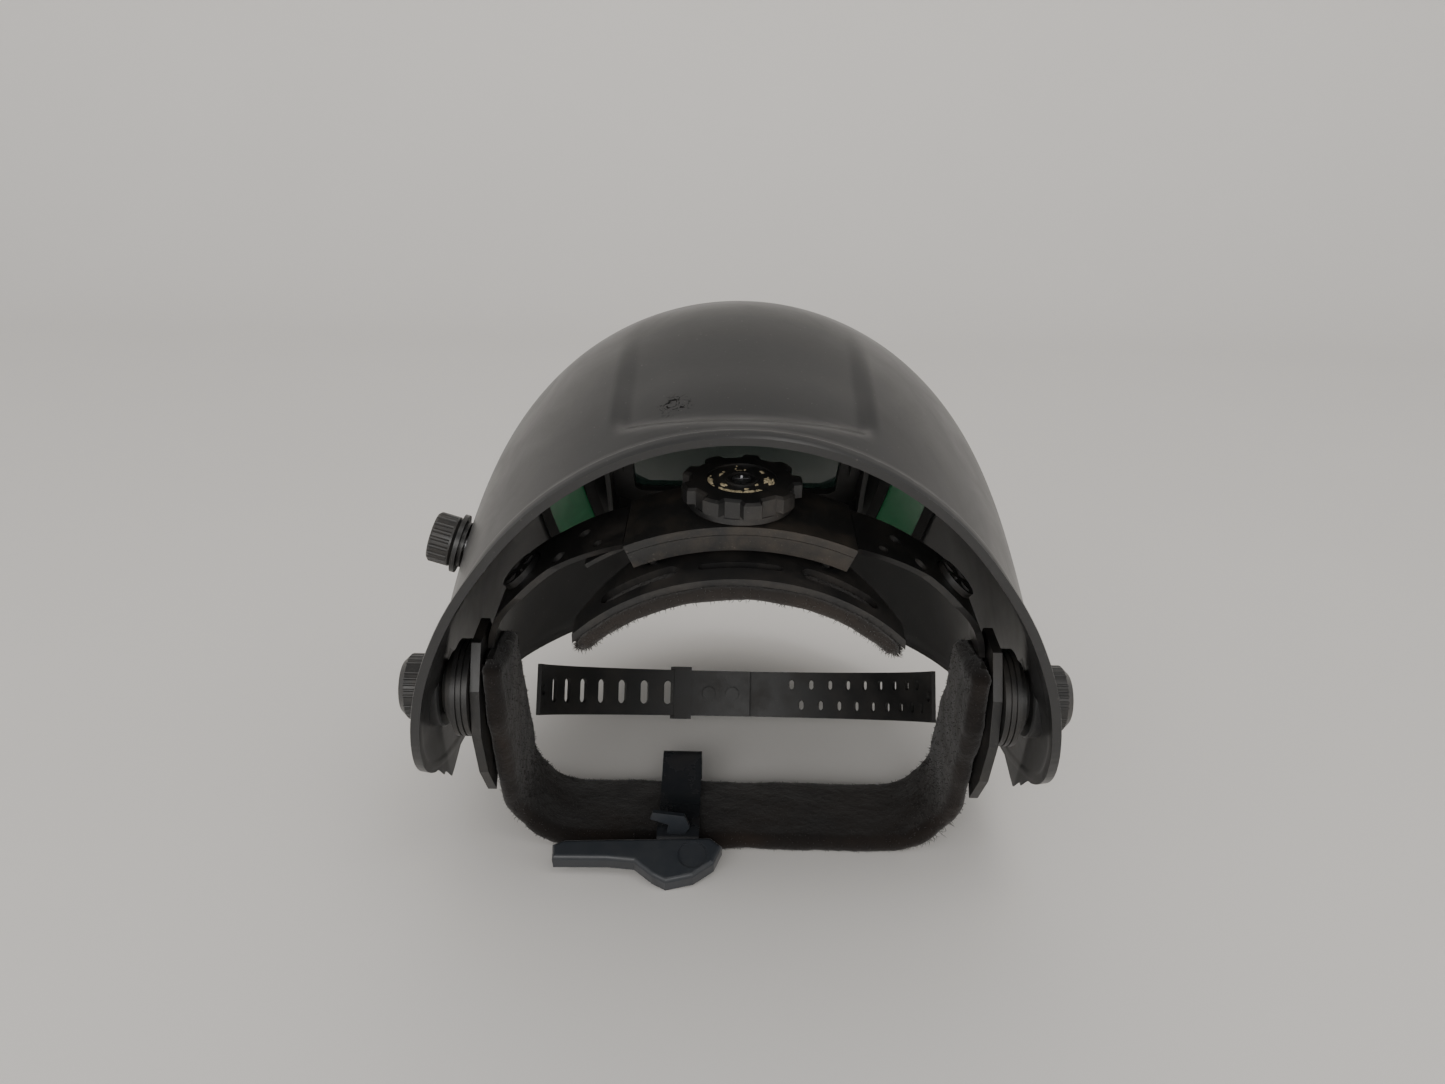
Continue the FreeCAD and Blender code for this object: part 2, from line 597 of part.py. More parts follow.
def arc_piece(a0, a1, r0, r1, y0, y1):
    """A curved slab of the rear arc."""
    mid = (a0 + a1) / 2
    edges = [Part.Arc(arc_spot(a0, r1, y0), arc_spot(mid, r1, y0), arc_spot(a1, r1, y0)),
             Part.LineSegment(arc_spot(a1, r1, y0), arc_spot(a1, r0, y0)),
             Part.Arc(arc_spot(a1, r0, y0), arc_spot(mid, r0, y0), arc_spot(a0, r0, y0)),
             Part.LineSegment(arc_spot(a0, r0, y0), arc_spot(a0, r1, y0))]
    wire = Part.Wire([e.toShape() for e in edges])
    return Part.Face(wire).extrude(V(0, y1 - y0, 0))


def arc_hole(angle, r, y, depth0=60, depth1=100):
    out = (arc_spot(angle, 1, 0) - arc_spot(angle, 0, 0)).normalize()
    return rod(r, arc_spot(angle, depth0, y), out, depth1 - depth0)


RACK_R0, RACK_R1 = ARC_R - 0.7, ARC_R + 0.7
GEAR_T = 1.45
COVER_R0, COVER_R1 = ARC_R + 1.0, ARC_R + 3.5
BASE_R0, BASE_R1 = ARC_R - 4.5, ARC_R - 1.0
TOOTH_PITCH = 2 * math.pi * PINION_R / PINION_TEETH


def pinion():
    gear = rod(PINION_R - 1.0, V(0, RATCHET_Y, ARC_Z + ARC_R - 0.85), Z_AXIS, GEAR_T)
    for i in range(PINION_TEETH):
        a = 2 * math.pi * i / PINION_TEETH
        tooth = prism([V(-0.62, -1.4, 0), V(0.62, -1.4, 0), V(0.28, 0.75, 0), V(-0.28, 0.75, 0)],
                      V(0, 0, GEAR_T))
        tooth.translate(V(0, PINION_R, 0))
        tooth.rotate(ORIGIN, Z_AXIS, math.degrees(a))
        tooth.translate(V(0, RATCHET_Y, ARC_Z + ARC_R - 0.85))
        gear = gear.fuse(tooth)
    gear = gear.fuse(rod(2.6, V(0, RATCHET_Y, ARC_Z + ARC_R - 0.9), Z_AXIS, 9.0))
    gear = gear.fuse(rod(2.4, V(0, RATCHET_Y, ARC_Z + BASE_R0 + 1.4), Z_AXIS, 4.0))
    return gear.cut(rod(1.2, V(0, RATCHET_Y, 50), Z_AXIS, 60))


def rack(side):
    """Toothed tongue of one strap. side +1 runs out to +X, its teeth face the pinion from +Y."""
    y_pitch = RATCHET_Y + side * PINION_R
    y0, y1 = sorted((y_pitch + side * 1.0, y_pitch + side * 5.4))
    a0, a1 = sorted((-side * 14.0, side * 34.0))
    piece = arc_piece(a0, a1, RACK_R0, RACK_R1, y0, y1)
    pitch_angle = math.degrees(TOOTH_PITCH / ARC_R)
    for i in range(-7, 8):
        a = (i + 0.5) * pitch_angle
        tooth = prism([V(-0.62, side * 1.3, 0), V(0.62, side * 1.3, 0),
                       V(0.28, -side * 0.7, 0), V(-0.28, -side * 0.7, 0)], V(0, 0, 1.4))
        tooth.translate(V(0, y_pitch, RACK_R0))
        tooth.rotate(ORIGIN, Y_AXIS, a)
        tooth.translate(V(0, 0, ARC_Z))
        piece = piece.fuse(tooth)
    return piece


def make_ratchet():
    half, y0, y1 = HOUSING_HALF_ANGLE, HOUSING_Y0, HOUSING_Y1
    cover = arc_piece(-half, half, COVER_R0 - 1.9, COVER_R1, y0, y1)
    cover = cover.cut(arc_piece(-40, 40, RACK_R0 - 3, COVER_R0 - 0.1, y0 + 6.6, y1 - 5.6))
    cover = cover.cut(rod(2.7, V(0, RATCHET_Y, 50), Z_AXIS, 60))
    seat = rod(13.5, V(0, RATCHET_Y, ARC_Z + COVER_R1 - 2), Z_AXIS, 2.6)
    seat = seat.cut(rod(2.7, V(0, RATCHET_Y, 50), Z_AXIS, 60))
    seat = seat.cut(arc_piece(-40, 40, RACK_R0 - 3, COVER_R0 - 0.1, y0, y1))
    cover = cover.fuse(seat)
    base = arc_piece(-half, half, BASE_R0, BASE_R1 - 0.1, y0, y1)
    base = base.cut(arc_piece(-40, 40, BASE_R0 - 3, BASE_R0 + 1.0, y0 + 5, y1 - 5))
    base = base.cut(rod(2.5, V(0, RATCHET_Y, 50), Z_AXIS, 60))
    rails = arc_piece(-half, half, BASE_R1 - 0.3, COVER_R0 - 0.3, y0 + 0.0, y0 + 6.3)
    rails = rails.fuse(arc_piece(-half, half, BASE_R1 - 0.3, COVER_R0 - 0.3, y1 - 5.3, y1))
    cover = cover.cut(arc_piece(-40, 40, 60, COVER_R0 - 0.15, y0 - 1, y1 + 1))
    base = base.fuse(rails)
    for angle in (-16, 16):
        for y in (y0 + 3.2, y1 - 2.7):
            base = base.cut(arc_hole(angle, 1.05, y))
            cover = cover.cut(arc_hole(angle, 1.05, y, 60, ARC_R + 2.4))
    nodes["housing_cover"] = biggest(cover)
    nodes["housing_base"] = biggest(base)
    screws = []
    for angle in (-16, 16):
        for y in (y0 + 3.2, y1 - 2.7):
            screws.append(arc_hole(angle, 1.0, y, BASE_R0 + 0.2, ARC_R + 2.2))
    nodes["housing_screws"] = Part.makeCompound(screws)
    nodes["ratchet_pinion"] = pinion()
    nodes["rack_right"] = rack(1)
    nodes["rack_left"] = rack(-1)


make_ratchet()


def make_ratchet_knob():
    """Hand wheel with deep scallops, a raised centre ring and a second, smaller rim below."""
    base_z = ARC_Z + COVER_R1 + 0.9
    foot = rod(RATCHET_KNOB_R - 2.2, V(0, RATCHET_Y, base_z), Z_AXIS, 3.2)
    rim = rod(RATCHET_KNOB_R, V(0, RATCHET_Y, base_z + 3.0), Z_AXIS, 5.2)
    knob = foot.fuse(rim)
    for i in range(RATCHET_LOBES):
        a = 2 * math.pi * (i + 0.5) / RATCHET_LOBES
        c = V(math.cos(a), math.sin(a), 0)
        s = V(-math.sin(a), math.cos(a), 0)
        centre = V(0, RATCHET_Y, base_z + 1.9)
        near, far = centre + c * (RATCHET_KNOB_R - 2.6), centre + c * (RATCHET_KNOB_R + 3)
        knob = knob.cut(prism([near - s * 2.3, near + s * 2.3, far + s * 6.2, far - s * 6.2],
                              V(0, 0, 12)))
    top = [e for e in knob.Edges if e.BoundBox.ZMin > base_z + 8.1]
    knob = knob.makeChamfer(0.8, top)
    face_z = base_z + 8.2
    knob = knob.cut(rod(11.0, V(0, RATCHET_Y, face_z - 0.6), Z_AXIS, 2).cut(
        rod(5.3, V(0, RATCHET_Y, face_z - 1), Z_AXIS, 3)))
    knob = knob.cut(rod(4.3, V(0, RATCHET_Y, face_z - 1.2), Z_AXIS, 3))
    knob = knob.cut(rod(2.63, V(0, RATCHET_Y, base_z - 1), Z_AXIS, 5.5))
    knob = knob.cut(rod(1.25, V(0, RATCHET_Y, base_z), Z_AXIS, 12))
    nodes["ratchet_knob"] = biggest(knob)
    screw = rod(1.15, V(0, RATCHET_Y, face_z - 12.0), Z_AXIS, 11.0)
    screw = screw.fuse(rod(3.0, V(0, RATCHET_Y, face_z - 1.15), Z_AXIS, 0.9))
    slot = box(-2.2, 2.2, RATCHET_Y - 0.35, RATCHET_Y + 0.35, face_z - 0.7, face_z + 1)
    cross = box(-0.35, 0.35, RATCHET_Y - 2.2, RATCHET_Y + 2.2, face_z - 0.7, face_z + 1)
    nodes["knob_screw"] = screw.cut(slot).cut(cross)


make_ratchet_knob()


# Each arm runs from the housing end, through the star disc, down to the side plate.
ARM_LINE = [(35.4, 63.7), (54, 54.6), (71, 39.5), (81.0, 24.0), (84.2, 14.0), (84.5, 5.0)]
ARM_EDGES = [V(-150, -29, 66), V(-150, -21, 52), V(-150, -20, 40), V(-150, -10, 24),
             V(-150, -7, 14), V(-150, -7, 5), V(-150, 12, 5), V(-150, 12, 14), V(-150, 10, 24), V(-150, 11, 40),
             V(-150, 2, 54), V(-150, -2, 66)]


def make_arm():
    inner = [V(x, -60, z) for x, z in ARM_LINE]
    outer = []
    for i, p in enumerate(inner):
        t = inner[min(i + 1, len(inner) - 1)] - inner[max(i - 1, 0)]
        n = V(-t.z, 0, t.x).normalize()
        outer.append(p - n * 2.2 if n.z < 0 else p + n * 2.2)
    curves = []
    for line in (inner, outer):
        c = Part.BSplineCurve()
        c.interpolate(line)
        curves.append(c)
    ends = [Part.LineSegment(inner[0], outer[0]), Part.LineSegment(inner[-1], outer[-1])]
    wire = Part.Wire(Part.__sortEdges__([s.toShape() for s in curves + ends]))
    arm = Part.Face(wire).extrude(V(0, 120, 0)).common(prism(ARM_EDGES, V(300, 0, 0)))
    for x, y, z, r in ((43.5, -22, 59, 1.7), (49, -10, 56, 2.2), (57, -17, 51, 2.6)):
        arm = arm.cut(rod(r, V(x - 6, y, z - 12), V(0.45, 0, 0.9), 26))
    return arm


STAR = V(70.6, -5.0, 39.4)
STAR_OUT = V(0.68, 0, 0.733)


def make_star_disc():
    """Round adjuster on the arm, with ribs like a star."""
    disc = rod(7.6, STAR + STAR_OUT * 2.7, STAR_OUT, 2.2)
    disc = disc.cut(rod(6.4, STAR + STAR_OUT * 4.0, STAR_OUT, 3))
    side = V(STAR_OUT.z, 0, -STAR_OUT.x)
    for i in range(6):
        a = math.radians(60 * i)
        d = Y_AXIS * math.cos(a) + side * math.sin(a)
        n = STAR_OUT.cross(d)
        c = STAR + STAR_OUT * 3.8
        disc = disc.fuse(prism([c + d * 1 - n * 0.8, c + d * 6.9 - n * 0.8,
                                c + d * 6.9 + n * 0.8, c + d * 1 + n * 0.8], STAR_OUT * 1.1))
    disc = disc.fuse(rod(2.3, STAR - STAR_OUT * 0.9, STAR_OUT, 5.8))
    return disc


arm = make_arm()
arm = arm.cut(rod(2.36, STAR - STAR_OUT * 8, STAR_OUT, 20))
arm = arm.cut(rod(8.3, STAR + STAR_OUT * 2.4, STAR_OUT, 6))
nodes["rear_arm_right"] = biggest(arm)
nodes["rear_arm_left"] = both_sides(nodes["rear_arm_right"])
nodes["star_disc_right"] = make_star_disc()
nodes["star_disc_left"] = both_sides(nodes["star_disc_right"])


# ---- nape cushion ------------------------------------------------------------
NAPE_Z, NAPE_R = -9.5, 72.0
PEG_X, PEG_Y, PEG_FOOT_Z = 27.0, -24.0, 51.6


def nape_spot(angle, r, y):
    a = math.radians(angle)
    return V(r * math.sin(a), y, NAPE_Z + r * math.cos(a))


def nape_piece(half, r0, r1, y0, y1):
    edges = [Part.Arc(nape_spot(-half, r1, y0), nape_spot(0, r1, y0), nape_spot(half, r1, y0)),
             Part.LineSegment(nape_spot(half, r1, y0), nape_spot(half, r0, y0)),
             Part.Arc(nape_spot(half, r0, y0), nape_spot(0, r0, y0), nape_spot(-half, r0, y0)),
             Part.LineSegment(nape_spot(-half, r0, y0), nape_spot(-half, r1, y0))]
    return Part.Face(Part.Wire([e.toShape() for e in edges])).extrude(V(0, y1 - y0, 0))


def crescent(half_x, near_y, far_y, bow):
    """Outline from above: a straight near edge, an arched far edge, pointed tips."""
    near = Part.Arc(V(-half_x, near_y, -200), V(0, near_y - 1.5, -200), V(half_x, near_y, -200))
    far = Part.Arc(V(-half_x, far_y - bow, -200), V(0, far_y, -200), V(half_x, far_y - bow, -200))
    ends = [Part.LineSegment(V(s * half_x, near_y, -200), V(s * half_x, far_y - bow, -200))
            for s in (-1, 1)]
    wire = Part.Wire(Part.__sortEdges__([s.toShape() for s in [near, far] + ends]))
    return Part.Face(wire).extrude(V(0, 0, 400))


def window_cut(x0, x1, y0, y1):
    r = (y1 - y0) / 2 - 0.01
    cut = box(x0 + r, x1 - r, y0, y1, 0, 100)
    return cut.fuse(rod(r, V(x0 + r, (y0 + y1) / 2, 0), Z_AXIS, 100)).fuse(
        rod(r, V(x1 - r, (y0 + y1) / 2, 0), Z_AXIS, 100))


def make_nape():
    frame = nape_piece(48, NAPE_R - 2.2, NAPE_R, -60, 20).common(crescent(51.5, -42, -8, 24))
    for s in (-1, 1):
        frame = frame.cut(rod(2.1, V(s * PEG_X, PEG_Y, 40), Z_AXIS, 30))
    for x0, x1, y0, y1 in ((-13, 13, -36.5, -33.0), (19, 43, -37.5, -30.5), (-43, -19, -37.5, -30.5)):
        frame = frame.cut(window_cut(x0, x1, y0, y1))
    pad = nape_piece(47, NAPE_R - 7.6, NAPE_R - 2.5, -60, 20).common(crescent(50, -44.0, -12, 20))
    for s in (-1, 1):
        pad = pad.cut(rod(3.4, V(s * PEG_X, PEG_Y, PEG_FOOT_Z - 0.6), Z_AXIS, 12))
    return biggest(frame), biggest(pad)


nodes["cushion_frame"], nodes["nape_cushion"] = make_nape()


def make_pegs():
    """Headed pegs that hang the cushion frame loosely under the housing."""
    pegs = []
    for s in (-1, 1):
        stem = rod(1.5, V(s * PEG_X, PEG_Y, PEG_FOOT_Z + 0.8), Z_AXIS, 13.0)
        stem = min(stem.cut(nodes["housing_base"]).Solids, key=lambda p: p.BoundBox.ZMin)
        pegs.append(stem.fuse(rod(2.6, V(s * PEG_X, PEG_Y, PEG_FOOT_Z), Z_AXIS, 1.2)))
    return Part.makeCompound(pegs)


nodes["cushion_pegs"] = make_pegs()


# ---- lean of the rear group ----------------------------------------------------
# Everything behind the arms' feet leans a little, as the rear of a head does.
REAR_LEAN, REAR_SHIFT = 8.0, V(0, 9.0, 3.5)
REAR_GROUP = ["housing_cover", "housing_base", "housing_screws", "ratchet_pinion", "rack_left",
              "rack_right", "ratchet_knob", "knob_screw", "rear_arm_left", "rear_arm_right",
              "star_disc_left", "star_disc_right", "cushion_frame", "nape_cushion", "cushion_pegs"]
for name in REAR_GROUP:
    leaning = nodes[name].copy()
    leaning.rotate(V(0, 2.5, 14), X_AXIS, REAR_LEAN)
    leaning.translate(REAR_SHIFT)
    if name.startswith("rear_arm"):
        leaning = biggest(leaning.cut(box(-150, 150, -80, 80, -60, 14.0)))
    nodes[name] = leaning


# ---- clip on the browband ------------------------------------------------------
CLIP_X, CLIP_HALF = -20.5, 8.0


LEVER_PIVOT = (-14.5, -2.0)
LEVER_LEAN, LEVER_RISE = 24.0, 5.4


def lever_place(shape):
    """The lever slopes down towards the wearer's crown side and touches the table at its tip."""
    shape = shape.copy()
    shape.rotate(ORIGIN, X_AXIS, LEVER_LEAN)
    shape.translate(V(0, 0, BAND_BOTTOM_Z + LEVER_RISE))
    return shape


def make_clip():
    top = BAND_BOTTOM_Z + FLEECE_OUT + BAND_T + FLEECE_IN
    line = [(8.6, BAND_BOTTOM_Z + 1.5), (9.6, top + 0.6), (22, top + 0.9), (38, top + 1.4),
            (50, top + 6.0), (57, top + 8.2), (61.5, top + 3.0), (62.0, BAND_BOTTOM_Z + 0.6)]
    outer, inner = [], []
    for i, (y, z) in enumerate(line):
        y0, z0 = line[max(i - 1, 0)]
        y1, z1 = line[min(i + 1, len(line) - 1)]
        n = math.hypot(y1 - y0, z1 - z0)
        ny, nz = -(z1 - z0) / n, (y1 - y0) / n
        inner.append(V(CLIP_X - CLIP_HALF, y, z))
        outer.append(V(CLIP_X - CLIP_HALF, y + 1.9 * ny, z + 1.9 * nz))
    curves = []
    for pts in (inner, outer):
        c = Part.BSplineCurve()
        c.interpolate(pts)
        curves.append(c)
    ends = [Part.LineSegment(inner[0], outer[0]), Part.LineSegment(inner[-1], outer[-1])]
    wire = Part.Wire(Part.__sortEdges__([s.toShape() for s in curves + ends]))
    hook = Part.Face(wire).extrude(V(2 * CLIP_HALF, 0, 0))
    nodes["clip_hook"] = hook
    outline = [(-66, -4.5), (-66.5, 1.5), (-62, 3.5), (-8, 5.5), (-3.6, 2.0), (-6.5, -5.0),
               (-14, -10.5), (-24, -13.0), (-29, -10.5), (-36, -5.0), (-46, -4.2)]
    lever = prism([V(x, y, 0) for x, y in outline], V(0, 0, 6.6))
    lever = lever.makeFillet(1.6, [e for e in lever.Edges if e.BoundBox.ZMin > 6.5])
    lever = lever.cut(rod(2.06, V(*LEVER_PIVOT, -1), Z_AXIS, 5.4))
    lever = lever.cut(rod(5.4, V(*LEVER_PIVOT, 5.9), Z_AXIS, 3))
    nodes["clip_lever"] = lever_place(lever)
    nodes["clip_pin"] = lever_place(rod(2.0, V(*LEVER_PIVOT, 0.2), Z_AXIS, 4.0))
    tab_z = top + 2.6
    tab_line = [(-31, 6.5), (-30, 9.5), (-18, 8.0), (-16, 3.0), (-19, -1.2), (-25, -1.2), (-24, 4.2)]
    tab = prism([V(x, 9.6, tab_z + z) for x, z in tab_line], V(0, 2.0, 0))
    nodes["clip_tab"] = biggest(tab.cut(hook))


make_clip()


# ---- export --------------------------------------------------------------
def export_all():
    os.makedirs("parts", exist_ok=True)
    shift = V(0, -CENTRE_Y, -TABLE_Z)
    whole = FreeCAD.BoundBox()
    for name, shape in sorted(nodes.items()):
        placed = shape.copy()
        placed.translate(shift)
        whole.add(placed.optimalBoundingBox(False, False))
        state = "" if placed.isValid() else "  NOT VALID"
        print(f"{name:26s} solids {len(placed.Solids)} volume {placed.Volume:10.1f}{state}")
        placed.exportStep(f"parts/{name}.step")
    print("box", whole)
    print(len(nodes), "nodes")


export_all()
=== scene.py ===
# %% [markdown]
# # An auto-darkening welding helmet, resting on its headgear
# The helmet lies face up: the black face shell is an arch, and the ratchet headgear that
# holds it on the wearer's head is folded under it, with its fleece sweatband on the table.
# The engineering model gives every part its place and size. This lesson loads it, keeps the
# hard parts, and makes again what a solid model draws too plainly: the big glossy shell,
# the fleece band and the padded nape cushion.

# %% Load the frame
import math
import random

import bmesh
import bpy
import numpy as np
from mathutils import Matrix, Vector
from mathutils import noise as perlin


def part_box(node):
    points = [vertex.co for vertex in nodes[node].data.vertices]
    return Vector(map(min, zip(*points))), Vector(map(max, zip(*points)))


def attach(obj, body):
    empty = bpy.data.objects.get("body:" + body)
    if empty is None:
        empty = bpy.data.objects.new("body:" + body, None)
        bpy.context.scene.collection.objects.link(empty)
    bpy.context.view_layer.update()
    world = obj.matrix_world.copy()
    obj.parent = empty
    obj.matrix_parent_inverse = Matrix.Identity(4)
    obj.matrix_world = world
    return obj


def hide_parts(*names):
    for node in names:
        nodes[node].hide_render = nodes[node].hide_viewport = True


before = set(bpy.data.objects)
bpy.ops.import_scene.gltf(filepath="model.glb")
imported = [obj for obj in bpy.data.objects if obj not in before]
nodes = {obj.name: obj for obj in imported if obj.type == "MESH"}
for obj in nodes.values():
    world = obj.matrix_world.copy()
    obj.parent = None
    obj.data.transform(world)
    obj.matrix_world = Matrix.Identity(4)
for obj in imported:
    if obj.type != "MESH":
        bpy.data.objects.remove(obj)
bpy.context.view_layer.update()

# %% [markdown]
# The helmet turns about one line: the bolts at the wearer's temples. Measuring from that line
# keeps the numbers short, because the shell and the headgear are both arranged around it.
# A small function turns millimetres from the pivot line into metres on the table.

# %% The pivot line
bolt_low, bolt_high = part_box("pivot_bolt_right")
PIVOT = Vector((0.0, (bolt_low.y + bolt_high.y) / 2, (bolt_low.z + bolt_high.z) / 2))


def from_pivot(x, y, z):
    return Vector((x / 1000, PIVOT.y + y / 1000, PIVOT.z + z / 1000))


print("pivot line at", PIVOT)

# %% [markdown]
# The camera stands a little above the table, about 40 cm away, looking at the crown rim.
# A wide 27 mm lens at this short distance makes the near rim look large, as the eye would
# see it from a chair in front of the table. It is tipped about one degree to one side.

# %% Camera
camera_data = bpy.data.cameras.new("camera")
camera = bpy.data.objects.new("camera", camera_data)
bpy.context.scene.collection.objects.link(camera)
camera_data.lens = 27.03
camera_data.sensor_width = 36.0
camera_data.clip_start = 0.01
camera.location = from_pivot(-5.6, -340.0, 179.7)
look_down = Matrix.Rotation(math.radians(90 - 20), 4, "X")
tip = Matrix.Rotation(math.radians(1.1), 4, "Z")
camera.matrix_world = Matrix.Translation(camera.location) @ look_down @ tip
bpy.context.scene.camera = camera
print("camera at", tuple(round(v, 3) for v in camera.location))

# %% [markdown]
# Every finish below is a small graph of nodes. They share a few habits: a noise texture
# that varies the colour, a second one that varies the roughness, and a fine bump. These
# helpers make a material and wire those three, so that each finish is a short recipe.


# %% Material helpers
def new_material(name, colour, roughness, **settings):
    """A material with its shader; colour is linear red, green, blue."""
    material = bpy.data.materials.new(name)
    material.use_nodes = True
    shader = material.node_tree.nodes["Principled BSDF"]
    shader.inputs["Base Color"].default_value = (*colour, 1)
    shader.inputs["Roughness"].default_value = roughness
    for socket, value in settings.items():
        shader.inputs[socket.replace("_", " ")].default_value = value
    return material, material.node_tree, shader


def add(tree, kind, **values):
    """A node with its own settings; names with a capital are input sockets."""
    node = tree.nodes.new(kind)
    for key, value in values.items():
        if key[0].isupper():
            node.inputs[key.replace("_", " ")].default_value = value
        else:
            setattr(node, key, value)
    return node


def object_point(tree):
    """Coordinates fixed to the piece, so that a pattern moves with it."""
    return add(tree, "ShaderNodeTexCoord").outputs["Object"]


def noise(tree, scale, detail=4.0, roughness=0.55, point=None, distortion=0.0):
    """Grey clouds; scale is in patterns per metre."""
    node = add(tree, "ShaderNodeTexNoise", Scale=scale, Detail=detail, Roughness=roughness,
               Distortion=distortion)
    tree.links.new(point or object_point(tree), node.inputs["Vector"])
    return node.outputs["Fac"]


def ramp(tree, value, stops):
    """A colour or grey ramp through (place, colour) stops."""
    node = tree.nodes.new("ShaderNodeValToRGB")
    elements = node.color_ramp.elements
    while len(elements) < len(stops):
        elements.new(0.5)
    for element, (place, colour) in zip(elements, stops):
        element.position = place
        if isinstance(colour, (int, float)):
            colour = (colour, colour, colour)
        element.color = (*colour, 1)
    tree.links.new(value, node.inputs["Fac"])
    return node.outputs["Color"]


def mix(tree, factor, a, b):
    """Colour a where the factor is 0 and b where it is 1."""
    node = add(tree, "ShaderNodeMix", data_type="RGBA")
    for socket, value in ((node.inputs[0], factor), (node.inputs[6], a), (node.inputs[7], b)):
        if isinstance(value, bpy.types.NodeSocket):
            tree.links.new(value, socket)
        elif isinstance(value, tuple):
            socket.default_value = (*value, 1)
        else:
            socket.default_value = value
    return node.outputs[2]


def maths(tree, operation, a, b=0.0):
    node = add(tree, "ShaderNodeMath", operation=operation)
    for socket, value in ((node.inputs[0], a), (node.inputs[1], b)):
        if isinstance(value, bpy.types.NodeSocket):
            tree.links.new(value, socket)
        else:
            socket.default_value = value
    return node.outputs[0]


def bump(tree, shader, height, strength, distance):
    node = add(tree, "ShaderNodeBump", Strength=strength, Distance=distance)
    tree.links.new(height, node.inputs["Height"])
    tree.links.new(node.outputs["Normal"], shader.inputs["Normal"])


print("material helpers ready")

# %% [markdown]
# ## The shell's shape
# The shell is one moulding of black nylon, about 2 mm thick. Its shape is a fan of arches:
# each cross-section turns about a line low inside the helmet, and each is a softened
# half-oval from ear to ear. Two short tables describe it, the middle line from crown to
# chin and how square each arch is. Working from a formula gives a smooth surface at any
# fineness, which a reflective black surface needs, because gloss shows every ripple.

# %% The fan of arches
HALF_WIDTH, WALL = 111.0, 2.2
FAN_Y, FAN_Z = 55.0, -115.0
MIDDLE_LINE = [(-125, 52), (-85, 84), (-49, 104), (-20, 118), (10, 127.6), (35, 130.3),
               (68, 124.2), (98, 113), (126, 92), (150, 66), (172, 35), (190, 2),
               (201, -28), (206, -60), (205, -110)]
REACH = sorted((math.degrees(math.atan2(z - FAN_Z, y - FAN_Y)), math.hypot(y - FAN_Y, z - FAN_Z))
               for y, z in MIDDLE_LINE)
SQUARENESS = [(2, 1.9), (28, 1.9), (45, 2.7), (60, 3.6), (78, 3.9), (95, 3.5), (117.5, 3.5),
              (120.2, 3.9), (124.2, 4.5), (130, 4.7), (150, 4.7)]


def smooth_curve(table, x):
    """A smooth line through the table's points, read at x."""
    tx, ty = np.array(table, float).T
    slope = np.gradient(ty, tx)
    slope[1:-1] = (ty[2:] - ty[:-2]) / (tx[2:] - tx[:-2])
    x = np.clip(x, tx[0], tx[-1])
    k = np.clip(np.searchsorted(tx, x, side="right") - 1, 0, len(tx) - 2)
    w = tx[k + 1] - tx[k]
    t = (x - tx[k]) / w
    return ((2 * t**3 - 3 * t**2 + 1) * ty[k] + (t**3 - 2 * t**2 + t) * w * slope[k]
            + (3 * t**2 - 2 * t**3) * ty[k + 1] + (t**3 - t**2) * w * slope[k + 1])


def ease(t):
    t = np.clip(t, 0, 1)
    return t * t * (3 - 2 * t)


def arch(angle, t, inset):
    """The shell's point where the arch at that angle has gone t of the way from ear to ear."""
    half = HALF_WIDTH - inset
    x = half * np.cos(t)
    r = (smooth_curve(REACH, angle) - inset) * np.sin(t) ** (2 / smooth_curve(SQUARENESS, angle))
    a = np.radians(angle)
    y, z = FAN_Y + r * np.cos(a), FAN_Z + r * np.sin(a)
    return x, y, z


print("the crown's arch reaches", [round(float(v), 1) for v in arch(100.0, math.pi / 2, 0)])

# %% [markdown]
# On the forehead the moulding has a shallow U-shaped recess, open towards the top. Its
# sides are steep near the crown and fade away over the forehead. It is made by sinking the
# surface towards the fan's line by up to 3.4 mm, with soft steps at the sides and near edge.

# %% The forehead recess
RECESS_HALF, RECESS_DEPTH, RECESS_EDGE = 36.5, 3.4, 6.5
RECESS_START, RECESS_END, RECESS_FADE = -40.0, 30.0, 45.0


def recess(x, y, z):
    """How deep the recess is there, in mm."""
    start = RECESS_START + 7.0 * (x / RECESS_HALF) ** 2
    depth = (RECESS_DEPTH * ease((RECESS_HALF - np.abs(x)) / RECESS_EDGE + 0.5)
             * ease((y - start) / RECESS_EDGE + 0.5) * ease((RECESS_END - y) / RECESS_FADE))
    return np.where(z < 60, 0.0, depth)


def shell_spot(angle, t, inset):
    x, y, z = arch(angle, t, inset)
    a, dip = np.radians(angle), recess(x, y, z)
    return x, y - dip * np.cos(a), z - dip * np.sin(a)


print("recess is", round(float(recess(0.0, -10.0, 100.0)), 2), "mm deep in its middle")

# %% [markdown]
# The shell ends at its rim: down past the temples, round the ear lobes, and level to the
# chin. For each line of the grid that runs along the face, the script finds where that line
# crosses the rim, and spreads the grid's points between the crossings, so the mesh ends at
# the rim. At the bottom of the ear lobes the lines run almost along the rim, and the edge
# there is stepped, up to 8 mm from the true rim. Points are packed close near the rim, where
# the surface rises into a small rolled lip that stiffens the edge.

# %% Where each grid line meets the rim
RIM = sorted([(104, -49), (88, -46), (64, -40), (38, -34), (10, -29), (-10, -24), (-25, -14),
              (-36, 4), (-43, 30), (-48, 70)])
CHIN_Z = -48.0
